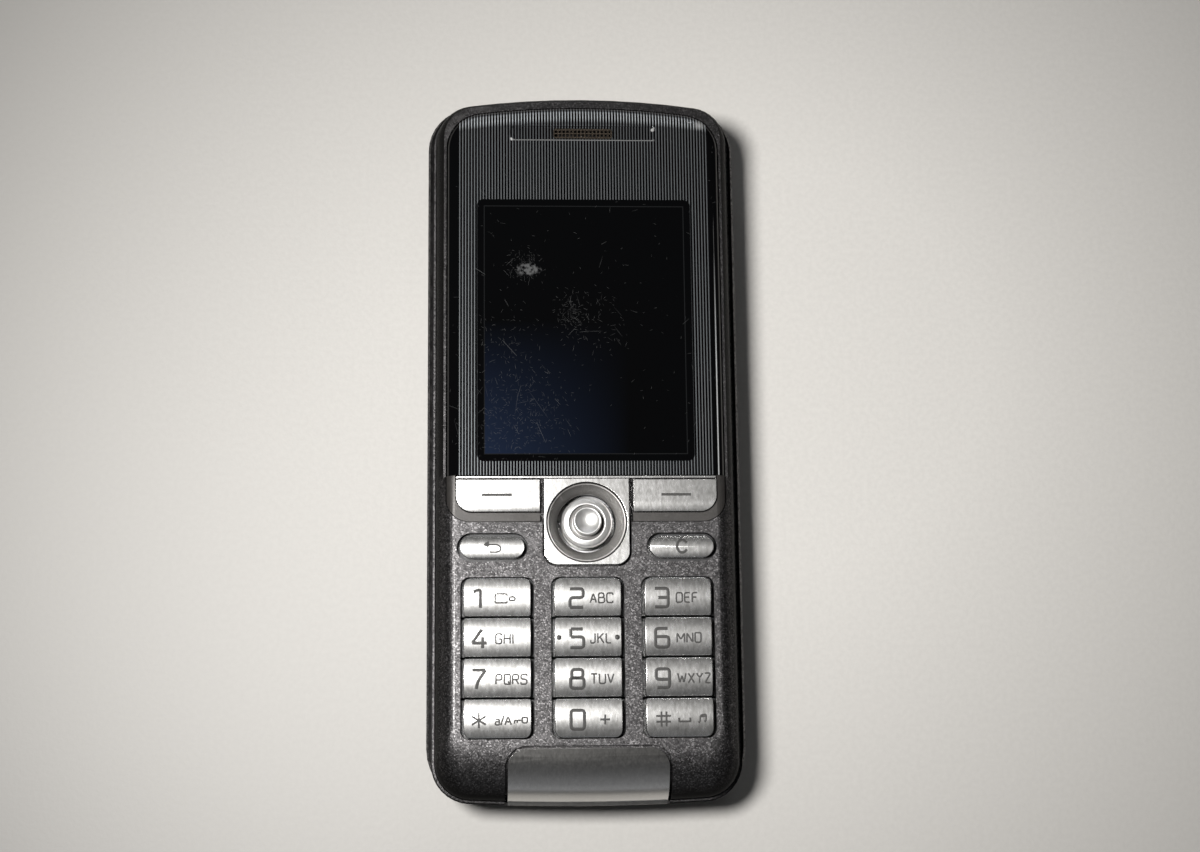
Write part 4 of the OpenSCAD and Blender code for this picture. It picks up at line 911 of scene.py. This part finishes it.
# Widths of the letters that are not as wide as the others, as shares of their height
LETTER_WIDTH = {"I": 0.1, "J": 0.5, "L": 0.54, "M": 0.78, "W": 0.86, "E": 0.56, "F": 0.54}
SIGNS = {
    "star": [[(0.5, 0), (0.5, 1)], [(0.03, 0.22), (0.97, 0.78)], [(0.03, 0.78), (0.97, 0.22)]],
    "hash": [[(0.36, 0), (0.36, 1)], [(0.7, 0), (0.7, 1)], [(0, 0.32), (1, 0.32)], [(0, 0.7), (1, 0.7)]],
    "space": [[(0, 0.5), (0, 0), (1, 0), (1, 0.5)]],
    "note": [[(0.25, 0.15), (0.3, 0.9), (0.95, 1), (0.9, 0.25)], [(0.3, 0.7), (0.94, 0.8)]],
    "heads": [[(0.08, 0.1), (0.24, 0.14)], [(0.72, 0.2), (0.88, 0.24)]],
    "lock": [[(0, 0), (0, 0.55), (0.55, 0.55)], [(0.22, 0.55), (0.22, 0.1)],
             [(0.78, 1), (1, 1), (1, 0.1), (0.6, 0.1), (0.6, 1), (0.78, 1)]],
    "tape": [[(0.08, 0), (0, 0), (0, 1), (0.6, 1), (0.6, 0.75)], [(0.05, 0), (0.6, 0), (0.6, 0.2)],
             [(0.72, 0.25), (0.72, 0.65), (1, 0.65), (1, 0.25), (0.72, 0.25)]],
    "return": [[(0.05, 0.72), (0.8, 0.72), (1, 0.5), (1, 0.12), (0.8, 0), (0.35, 0)],
               [(0.3, 1), (0, 0.72), (0.3, 0.46)], [(0.3, 0.86), (0.12, 0.72), (0.3, 0.58)]],
    "clear": [[(1, 0.76), (0.72, 1), (0.28, 1), (0, 0.7), (0, 0.3), (0.28, 0), (0.72, 0), (1, 0.24)]],
    "dash": [[(0, 0.5), (1, 0.5)]],
}
GROUPS = {
    "key_2": "ABC", "key_3": "DEF", "key_4": "GHI", "key_5": "JKL", "key_6": "MNO", "key_7": "PQRS", "key_8": "TUV",
    "key_9": "WXYZ",
}
# What else stands on a key: weight of its strokes, sign, X and Y from the key's middle, width and height, in mm
BESIDE = {
    "1": [("thin", SIGNS["tape"], -0.3, -0.6, 2.7, 1.2)],
    "0": [("mid", LETTERS["+"], 1.5, -0.66, 1.32, 1.32)],
    "star": [
        ("thin", LETTERS["a"], -0.3, -0.6, 0.6, 1.15), ("thin", LETTERS["/"], 0.44, -0.6, 0.4, 1.15),
        ("thin", LETTERS["A"], 0.98, -0.6, 0.85, 1.15), ("thin", SIGNS["lock"], 2.25, -0.45, 1.75, 0.8),
    ],
    "hash": [
        ("mid", SIGNS["space"], -0.15, -0.35, 1.5, 1.0), ("thin", SIGNS["note"], 2.35, -0.6, 1.25, 1.2),
        ("mid", SIGNS["heads"], 2.35, -0.6, 1.25, 1.2),
    ],
}
# The middle of the digit or sign and the start of the letters, by column, in mm from the key's middle
DIGIT_AT = (-2.5, -1.53, -2.25)
LETTERS_AT = (-0.21, 0.33, -0.23)
PRINT_AT = -0.22
SIGN_SIZE = 2.0
DIGIT_WIDTH, USUAL_WIDTH, LETTER_GAP = 0.72, 0.62, 0.25  # shares of the print's height
STROKE_EASE = {"thick": 0.45, "mid": 0.1, "thin": 0.3}  # rounding of the corners of strokes, in mm
PRINT_FLATNESS = 0.08  # height of a ribbon as a share of its width
PRINT_LEVEL = 0.3  # share of the print lift at which a ribbon lies

KEY_FLANGE = 0.88 * MM  # how far a key's flange stands out
FLANGE_CORNER, FLANGE_EDGE = 0.24 * MM, 0.06 * MM
OUTER_CORNER, KEY_CORNER = 1.0 * MM, 0.25 * MM
KEY_DEPTH, PILL_DEPTH, SOFTKEY_DEPTH = 1.9 * MM, 1.5 * MM, 1.2 * MM  # how far a cap reaches down
KEY_ROWS, PILL_ROWS, SOFTKEY_ROWS = 28, 24, 40  # rows that a cap's top is shaped in
SIDE_KEY_EDGE = 0.2 * MM
PLATE_GAP, PLATE_EDGE = 0.16 * MM, 0.22 * MM
TAB_GAP = 0.1 * MM
# Profile of the joystick's knob, in mm: inward from the skirt and up, outward from the groove and up, inward from the
# thumb rest and down
SKIRT_LINE = ((0.1, 0.0), (0.0, 0.1), (0.0, 0.48), (0.03, 0.6), (0.1, 0.71), (0.2, 0.8), (0.32, 0.87), (0.45, 0.92))
GROOVE_LINE = ((0.3, 1.01), (0.2, 1.035), (0.12, 1.04), (0.05, 1.015), (0.0, 0.94), (0.0, 0.66))
THUMB_LINE = ((0.0, 0.32), (0.02, 0.2), (0.07, 0.09), (0.13, 0.02), (0.19, 0.0), (0.25, 0.012))


def eased(points, radius, steps=4, step=0.2 * MM):
    """The stroke with its corners rounded, in steps short enough to follow a crown."""
    points = [Vector(p) for p in points]
    out = [points[0]]
    for before, corner, after in zip(points, points[1:], points[2:]):
        a, b = before - corner, after - corner
        reach = min(radius, a.length * 0.48, b.length * 0.48)
        enter, leave = corner + a.normalized() * reach, corner + b.normalized() * reach
        for i in range(steps + 1):
            t = i / steps
            out.append(enter * (1 - t) ** 2 + corner * 2 * t * (1 - t) + leave * t ** 2)
    out.append(points[-1])
    fine = [out[0]]
    for before, after in zip(out, out[1:]):
        steps = max(1, math.ceil((after - before).length / step))
        fine += [before.lerp(after, i / steps) for i in range(1, steps + 1)]
    return fine


def place(strokes, x, y, width, height):
    """Strokes of a one by one box set into a box on a key."""
    return [[(x + px * width, y + py * height) for px, py in stroke] for stroke in strokes]


def printed(name, jobs, surface, body):
    """Prints strokes on a surface: flat ribbons that follow the height the surface gives at each point."""
    rest()
    parts = []
    for strokes, width, radius in jobs:
        curve = bpy.data.curves.new(name, "CURVE")
        curve.dimensions = "3D"
        curve.bevel_depth = width / 2
        curve.bevel_resolution = 1
        curve.use_fill_caps = True
        for stroke in strokes:
            points = eased(stroke, radius)
            spline = curve.splines.new("POLY")
            spline.points.add(len(points) - 1)
            for point, at in zip(spline.points, points):
                point.co = (at.x, at.y, 0, 1)
        part = bpy.data.objects.new(name, curve)
        bpy.context.scene.collection.objects.link(part)
        parts.append(part)
    for part in parts:
        part.select_set(True)
    bpy.context.view_layer.objects.active = parts[0]
    bpy.ops.object.convert(target="MESH")
    if len(parts) > 1:
        bpy.ops.object.join()
    piece = bpy.context.object
    piece.name = piece.data.name = name
    edit(piece)
    bpy.ops.transform.resize(value=(1, 1, PRINT_FLATNESS), center_override=(0, 0, 0))
    rest()
    for v in piece.data.vertices:
        v.co.z += surface(v.co.x, v.co.y) + sizes().print_lift * PRINT_LEVEL
    smooth(piece)
    return wear(piece, "ink", "silver_paint", body)


def arch(centre_y, top, radius):
    """Height of a crown at each point of a key."""
    def height(x, y):
        return top - (radius - math.sqrt(max(radius ** 2 - (y - centre_y) ** 2, 0.0)))
    return height


def crown(piece, low_y, high_y, top, surface, rows):
    """Cuts a cap into rows, lowers its top to the surface and rounds its edges."""
    cut_rows(low_y, high_y, rows)
    drop_rows(piece, top, lambda y: top - surface(0, y))
    close_up(piece)
    soften(piece, sizes().key_edge)
    return piece


def key_cap(node, row):
    """A crowned number key; in the outer rows two of its corners are larger."""
    low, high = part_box(node)
    surface = arch((low.y + high.y) / 2 + sizes().key_crest, high.z, sizes().key_crown)
    piece = box_piece(
        f"{node}_cap", (low.x + KEY_FLANGE, low.y, high.z - KEY_DEPTH), (high.x - KEY_FLANGE, high.y, high.z)
    )
    outer = {0: high.y, 3: low.y}.get(row)
    if outer is not None:
        round_uprights(piece, lambda m: abs(m.y - outer) < SAME, OUTER_CORNER, 6)
    round_uprights(piece, lambda m: outer is None or abs(m.y - outer) > 2.5 * MM, KEY_CORNER, 3)
    return crown(piece, low.y, high.y, high.z, surface, KEY_ROWS)


def key_flange(node, corner=None):
    """The dark flange that keeps a key under the housing; without a corner, its ends are round."""
    low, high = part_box(node)
    levels = [v.co.z for v in frame["nodes"][node].data.vertices if v.co.x < low.x + HAIR]
    piece = box_piece(f"{node}_flange", (low.x, low.y, min(levels)), (high.x, high.y, max(levels)))
    round_uprights(piece, lambda m: True, corner or (high.y - low.y) / 2 - HAIR, 8)
    close_up(piece)
    soften(piece, FLANGE_EDGE, 2)
    return piece


def like_first(models, kind, node, part, model):
    """Models the first piece of its kind; the next ones are copies of it."""
    if kind not in models:
        models[kind] = node, model(node)
        return models[kind][1]
    first, piece = models[kind]
    return copied(piece, f"{node}_{part}", centre_of(node) - centre_of(first))


def key_print(node, column):
    """The digit or sign of a number key and what stands beside it."""
    low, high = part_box(node)
    centre = (low + high) / 2
    big, small = sizes().digit_height, sizes().letter_height
    y = centre.y + PRINT_AT * MM
    x = centre.x + DIGIT_AT[column] * MM
    left = centre.x + LETTERS_AT[column] * MM
    name = node.split("_")[1]
    lines = {"thick": [], "mid": [], "thin": []}
    if name in DIGITS:
        wide = DIGIT_WIDTH * big
        lines["thick"] += place(DIGITS[name], x - wide / 2, y - big / 2, wide, big)
    else:
        half = SIGN_SIZE / 2 * MM
        lines["mid"] += place(SIGNS[name], x - half, y - half, 2 * half, 2 * half)
    for letter in GROUPS.get(node, ""):
        wide = LETTER_WIDTH.get(letter, USUAL_WIDTH) * small
        lines["thin"] += place(LETTERS[letter], left, y - small / 2, wide, small)
        left += wide + LETTER_GAP * small
    for weight, sign, dx, dy, wide, tall in BESIDE.get(name, ()):
        lines[weight] += place(sign, centre.x + dx * MM, y + dy * MM, wide * MM, tall * MM)
    widths = {"thick": sizes().digit_stroke, "mid": sizes().sign_stroke, "thin": sizes().letter_stroke}
    jobs = [(lines[weight], widths[weight], ease * MM) for weight, ease in STROKE_EASE.items() if lines[weight]]
    surface = arch(centre.y + sizes().key_crest, high.z, sizes().key_crown)
    printed(f"{node}_print", jobs, surface, node)


def five_dots(node):
    """The two small domes that let a thumb find the middle key."""
    low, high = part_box(node)
    radius, lift, reach = 0.34 * MM, 0.12 * MM, 3.95 * MM
    at = (low + high) / 2 - Vector((reach, 0.1 * MM, 0))
    foot = high.z - 0.02 * MM
    rings = [(radius * math.cos(a), foot + lift * math.sin(a)) for a in (math.pi / 2 * i / 6 for i in range(7))]
    left = turned(f"{node}_dot_left", at, rings, 24)
    close_up(left)
    smooth(left)
    for dot in (left, copied(left, f"{node}_dot_right", (2 * reach, 0, 0))):
        wear(dot, "ink", "silver_paint", node)


class PHONE_OT_number_keys(bpy.types.Operator):
    """Models the twelve crowned number keys and prints them"""

    bl_idname = "phone.number_keys"
    bl_label = "Number keys"

    def execute(self, context):
        models = {}
        for row, keys in enumerate(NUMBER_KEYS):
            shape = {0: "top", 3: "bottom"}.get(row, "middle")
            for column, node in enumerate(keys):
                cap = like_first(models, shape, node, "cap", lambda n: key_cap(n, row))
                wear(cap, "silver_paint", "silver_paint", node, node)
                flange = like_first(models, "flange", node, "flange", lambda n: key_flange(n, FLANGE_CORNER))
                wear(flange, "black_plastic", "black_plastic", node)
                key_print(node, column)
        five_dots("key_5")
        return {"FINISHED"}


def pill_cap(node):
    """A crowned key with round ends."""
    low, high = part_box(node)
    surface = arch((low.y + high.y) / 2, high.z, sizes().pill_crown)
    x0, y0, x1, y1 = low.x + KEY_FLANGE, low.y + KEY_FLANGE, high.x - KEY_FLANGE, high.y - KEY_FLANGE
    piece = box_piece(f"{node}_cap", (x0, y0, high.z - PILL_DEPTH), (x1, y1, high.z))
    round_uprights(piece, lambda m: True, (y1 - y0) / 2 - HAIR, 10)
    return crown(piece, y0, y1, high.z, surface, PILL_ROWS)


def pill_print(node, sign, box, width, ease):
    """Prints a sign on a pill key, in a box that is placed from the key's middle; sizes in mm."""
    low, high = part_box(node)
    centre = (low + high) / 2
    x, y, wide, tall = (size * MM for size in box)
    strokes = place(sign, centre.x + x, centre.y + y, wide, tall)
    surface = arch(centre.y, high.z, sizes().pill_crown)
    printed(f"{node}_print", [(strokes, width * MM, ease * MM)], surface, node)


def softkey_cap(node):
    """The left softkey: one large outer corner, and a lower edge that rolls down."""
    low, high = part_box(node)
    lip, corner = 0.45 * MM, 2.2 * MM
    fall, roll = 0.22 * MM, 1.5 * MM
    x0, y0 = low.x + lip, low.y + lip
    piece = box_piece(f"{node}_cap", (x0, y0, high.z - SOFTKEY_DEPTH), (high.x, high.y, high.z))
    round_uprights(piece, lambda m: abs(m.x - x0) < SAME and abs(m.y - y0) < SAME, corner, 10)
    cut_rows(y0, high.y, SOFTKEY_ROWS)
    drop_rows(piece, high.z, lambda y: fall * max(0.0, (y0 + roll - y) / roll) ** 2)
    return close_up(piece)


class PHONE_OT_menu_keys(bpy.types.Operator):
    """Models the two pill keys and the two softkeys and prints them"""

    bl_idname = "phone.menu_keys"
    bl_label = "Menu keys"

    def execute(self, context):
        models = {}
        for node in ("back_key", "clear_key"):
            cap = like_first(models, "pill", node, "cap", pill_cap)
            wear(cap, "silver_paint", "silver_paint", node, node)
            flange = like_first(models, "flange", node, "flange", key_flange)
            wear(flange, "black_plastic", "black_plastic", node)
        pill_print("back_key", SIGNS["return"], (-1.15, -0.7, 2.3, 1.4), 0.22, 0.25)
        pill_print("clear_key", SIGNS["clear"], (-0.65, -0.85, 1.34, 1.7), 0.36, 0.3)

        left = softkey_cap("softkey_left")
        right = copied(left, "softkey_right_cap", mirror=True)
        for side, node, cap in ((-1, "softkey_left", left), (1, "softkey_right", right)):
            soften(cap, sizes().key_edge)
            wear(cap, "silver_paint", "silver_paint", node, node)
            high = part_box(node)[1]
            strokes = place(SIGNS["dash"], (side * 12.3 - 2.05) * MM, high.y - 2.3 * MM, 4.1 * MM, 0.37 * MM)
            printed(f"{node}_print", [(strokes, 0.36 * MM, 0.1 * MM)], lambda x, y: high.z, node)
        return {"FINISHED"}


def joystick_plate():
    """The square plate, a little smaller than its solid at the sides and below, so that its seam shows."""
    plate = solid_copy("nav_plate", "joystick_plate")
    low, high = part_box("nav_plate")
    at, half = (low + high) / 2, (high.x - low.x) / 2
    less = 1 - PLATE_GAP / half
    edit(plate)
    pick(plate, "VERT", lambda v: (v.co - at).xy.length > half - 0.25 * MM)
    bpy.ops.transform.resize(value=(less, 1, 1), center_override=at)
    pick(plate, "VERT", lambda v: v.co.y < at.y and (v.co - at).xy.length > half - 0.25 * MM)
    bpy.ops.transform.resize(value=(1, less, 1), center_override=at)
    rest()
    soften(plate, PLATE_EDGE)
    return plate


def joystick_dish():
    """The dished ring round the knob."""
    low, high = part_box("nav_dish")
    at = (low + high) / 2
    outer = (high.x - low.x) / 2
    inner = min((v.co - at).xy.length for v in frame["nodes"]["nav_dish"].data.vertices)
    top, foot = high.z, low.z
    dish = turned("joystick_dish", at, [
        (outer, foot), (outer, top - 0.06 * MM), (outer - 0.06 * MM, top), (outer - 0.22 * MM, top),
        (outer - 0.28 * MM, top - 0.05 * MM), (inner + 0.1 * MM, foot + 0.78 * MM), (inner, foot + 0.7 * MM),
        (inner, foot), (outer, foot),
    ])
    close_up(dish)
    smooth(dish, TURNED_ANGLE)
    return dish


def joystick_knob():
    """The skirt, the groove in it and the hollowed thumb rest, turned in one."""
    low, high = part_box("joystick_cap")
    skirt = (high.x - low.x) / 2
    foot, top = low.z, high.z
    groove, thumb, bend = 2.4 * MM, 1.95 * MM, sizes().thumb_hollow
    hollow = thumb - 0.3 * MM
    brink = top - 0.04 * MM + math.sqrt(bend ** 2 - hollow ** 2)
    ring = [(0.95 * MM, foot)]
    ring += [(skirt - inset * MM, foot + rise * MM) for inset, rise in SKIRT_LINE]
    ring += [(groove + outset * MM, foot + rise * MM) for outset, rise in GROOVE_LINE]
    ring += [(thumb, foot + 0.65 * MM)]
    ring += [(thumb - inset * MM, top - drop * MM) for inset, drop in THUMB_LINE]
    ring += [(r, brink - math.sqrt(bend ** 2 - r ** 2)) for r in (hollow * (1 - i / 12) for i in range(13))]
    knob = turned("joystick_knob", (low + high) / 2, ring)
    close_up(knob)
    smooth(knob, TURNED_ANGLE)
    return knob


class PHONE_OT_joystick(bpy.types.Operator):
    """Turns the joystick's cap and dish and edges its square plate"""

    bl_idname = "phone.joystick"
    bl_label = "Joystick"

    def execute(self, context):
        wear(joystick_plate(), "silver_paint", "silver_paint", "phone", "nav_plate")
        wear(joystick_dish(), "dish_paint", "band_plastic", "phone", "nav_dish")
        wear(joystick_knob(), "knob_paint", "silver_paint", "joystick_stick", "joystick_cap")
        return {"FINISHED"}


class PHONE_OT_front(bpy.types.Operator):
    """Edges the front housing, its trim and the bottom tab"""

    bl_idname = "phone.front"
    bl_label = "Front housing and trim"

    def execute(self, context):
        edged("front_housing", "front_shell", sizes().shell_edge, "sparkle_paint", "phone")
        tab = solid_copy("bottom_tab", "tab_plate")
        low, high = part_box("bottom_tab")
        edit(tab)
        less = (1 - TAB_GAP / high.x, 1 - TAB_GAP / (high.y - low.y), 1)
        bpy.ops.transform.resize(value=less, center_override=(0, low.y, low.z))
        rest()
        soften(tab, sizes().tab_edge, 4, 50)
        wear(tab, "tab_paint", "tab_paint", "phone", "bottom_tab")
        edged("softkey_frames", "softkey_bands", 0.08 * MM, "band_plastic", "phone", 2, 40)
        strip = box_piece("silver_strip", *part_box("trim_strip"))
        round_uprights(strip, lambda m: True, 0.1 * MM, 3)
        rest()
        soften(strip, 0.06 * MM)
        wear(strip, "silver_paint", "silver_paint", "phone", "trim_strip")
        return {"FINISHED"}


class PHONE_OT_window(bpy.types.Operator):
    """Smooths the pillow-shaped window and edges its earpiece recess"""

    bl_idname = "phone.window"
    bl_label = "Window"

    def execute(self, context):
        glass = solid_copy("window_lens", "window")
        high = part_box("window_lens")[1]

        def slot_rim(edge):
            at = middle(edge)
            flat = all(v.co.z > high.z - 0.02 * MM for v in edge.verts)
            bent = len(edge.link_faces) == 2 and edge.calc_face_angle() > math.radians(50)
            return flat and bent and abs(at.x) < 11 * MM and high.y - 6 * MM < at.y < high.y - 2 * MM

        edit(glass)
        pick(glass, "EDGE", slot_rim)
        bpy.ops.mesh.bevel(offset=0.16 * MM, segments=4, affect="EDGES", clamp_overlap=False)
        rest()
        soften(glass, 0.05 * MM, 2, 50)
        wear(glass, "window_acrylic", "window_acrylic", "phone", "window_lens")
        return {"FINISHED"}


class PHONE_OT_rear(bpy.types.Operator):
    """Edges the rear housing, the battery cover and the keys in the sides"""

    bl_idname = "phone.rear"
    bl_label = "Rear housing and side keys"

    def execute(self, context):
        edged("rear_housing", "rear_shell", sizes().shell_edge, "rear_paint", "phone")
        edged("battery_cover", "cover_shell", sizes().shell_edge, "rear_paint", "battery_cover")
        for node in ("power_key", "volume_rocker", "camera_key"):
            edged(node, f"{node}_cap", SIDE_KEY_EDGE, "black_plastic", node, 3, 35)
        return {"FINISHED"}


class PHONE_OT_inner_finishes(bpy.types.Operator):
    """Gives every solid that still shows the finish of its slot"""

    bl_idname = "phone.inner_finishes"
    bl_label = "Inner finishes"

    def execute(self, context):
        slots = {part["node"]: part["material_slot"] for part in frame["record"]["subparts"]}
        for node, solid in frame["nodes"].items():
            solid.data.materials.clear()
            solid.data.materials.append(finish("camera_glass" if node == "camera_window" else slots[node]))
        return {"FINISHED"}


def lamp(scene, name, at, aim, kind, size, watts):
    """A light at a place, turned towards its aim."""
    light = bpy.data.lights.new(name, kind)
    light.energy, light.color = watts, (1.0, 0.985, 0.96)
    if kind == "AREA":
        light.shape, light.size, light.size_y = "RECTANGLE", *size
    else:
        light.shadow_soft_size = size
    lit = bpy.data.objects.new(name, light)
    lit.location = at
    lit.rotation_euler = (Vector(aim) - Vector(at)).to_track_quat("-Z", "Y").to_euler()
    scene.collection.objects.link(lit)
    return light


def studio():
    """A dim room: an even glow, a soft light low in front and a bright band far behind."""
    world = bpy.data.worlds.new("Studio")
    world.use_nodes = True
    tree = world.node_tree
    x, y, z = axes(tree, put(tree, "ShaderNodeTexCoord").outputs["Generated"])
    even = span(tree, z, 0.2, 0.98, 0.012, 0.007)
    middle_only = span(tree, calc(tree, "ABSOLUTE", x), 0.55, 0.3)
    front = times(tree, span(tree, y, -0.1, -0.5), span(tree, z, 0.95, 0.05, 0.0, 0.32))
    band = times(tree, span(tree, y, 0.5, 0.7), span(tree, z, 0.62, 0.55), span(tree, z, 0.3, 0.37), 0.8)
    glow = calc(tree, "ADD", even, times(tree, calc(tree, "ADD", front, band), middle_only))
    feed(tree.nodes["Background"], Color=(0.95, 0.97, 1.0, 1.0), Strength=glow)
    return world


class PHONE_OT_stage(bpy.types.Operator):
    """Sets the camera, the light and the pale table"""

    bl_idname = "phone.stage"
    bl_label = "Stage"

    def execute(self, context):
        scene = context.scene
        rest()
        bpy.ops.mesh.primitive_plane_add(size=3.0, location=(0, 0, 0))
        table = bpy.context.object
        table.name = table.data.name = "table"
        table.data.materials.append(finish("table"))

        data = bpy.data.cameras.new("Photo view")
        data.lens, data.sensor_width, data.sensor_fit = 63.0, 36.0, "HORIZONTAL"
        data.clip_start, data.clip_end = 0.01, 20.0
        camera = bpy.data.objects.new("Photo view", data)
        camera.location = (-0.01418, -0.05352, 0.30155)
        camera.rotation_euler = [math.radians(turn) for turn in (10.88, -3.12, -0.65)]
        scene.collection.objects.link(camera)
        scene.camera = camera

        key = lamp(scene, "Key light", (-0.089, -0.012, 0.296), (0.02, 0.0, 0.0), "SPOT", 0.031, 4.35)
        key.spot_size, key.spot_blend = math.radians(84), 1.0
        lamp(scene, "Far light", (0.10, 0.34, 0.36), (0.0, 0.02, 0.0), "AREA", (0.02, 0.02), 0.03)
        lamp(scene, "Right light", (0.30, 0.09, 0.24), (0.0, 0.01, 0.0), "AREA", (0.09, 0.02), 0.012)
        scene.world = studio()
        scene.view_settings.view_transform = "Standard"
        scene.view_settings.look = "None"
        return {"FINISHED"}


class PHONE_PT_panel(bpy.types.Panel):
    """Lists the steps that dress the phone and the values that they read"""

    bl_idname = "PHONE_PT_panel"
    bl_label = "Candybar phone"
    bl_space_type = "VIEW_3D"
    bl_region_type = "UI"
    bl_category = "Phone"

    def draw(self, context):
        for operator in STEPS:
            self.layout.operator(operator.bl_idname)
        for group in (context.scene.phone_sizes, context.scene.phone_colours):
            column = self.layout.column()
            for key in type(group).__annotations__:
                column.prop(group, key)


STEPS = (
    PHONE_OT_inner_finishes, PHONE_OT_rear, PHONE_OT_front, PHONE_OT_window, PHONE_OT_number_keys,
    PHONE_OT_menu_keys, PHONE_OT_joystick, PHONE_OT_stage,
)
CLASSES = (PhoneSizes, PhoneColours, *STEPS, PHONE_PT_panel)


def register():
    for cls in CLASSES:
        bpy.utils.register_class(cls)
    bpy.types.Scene.phone_sizes = bpy.props.PointerProperty(type=PhoneSizes)
    bpy.types.Scene.phone_colours = bpy.props.PointerProperty(type=PhoneColours)


def unregister():
    del bpy.types.Scene.phone_colours
    del bpy.types.Scene.phone_sizes
    for cls in reversed(CLASSES):
        bpy.utils.unregister_class(cls)


def main():
    register()
    bpy.ops.phone.inner_finishes()
    bpy.ops.phone.rear()
    bpy.ops.phone.front()
    bpy.ops.phone.window()
    bpy.ops.phone.number_keys()
    bpy.ops.phone.menu_keys()
    bpy.ops.phone.joystick()
    bpy.ops.phone.stage()
    rest()


if __name__ == "__main__":
    main()
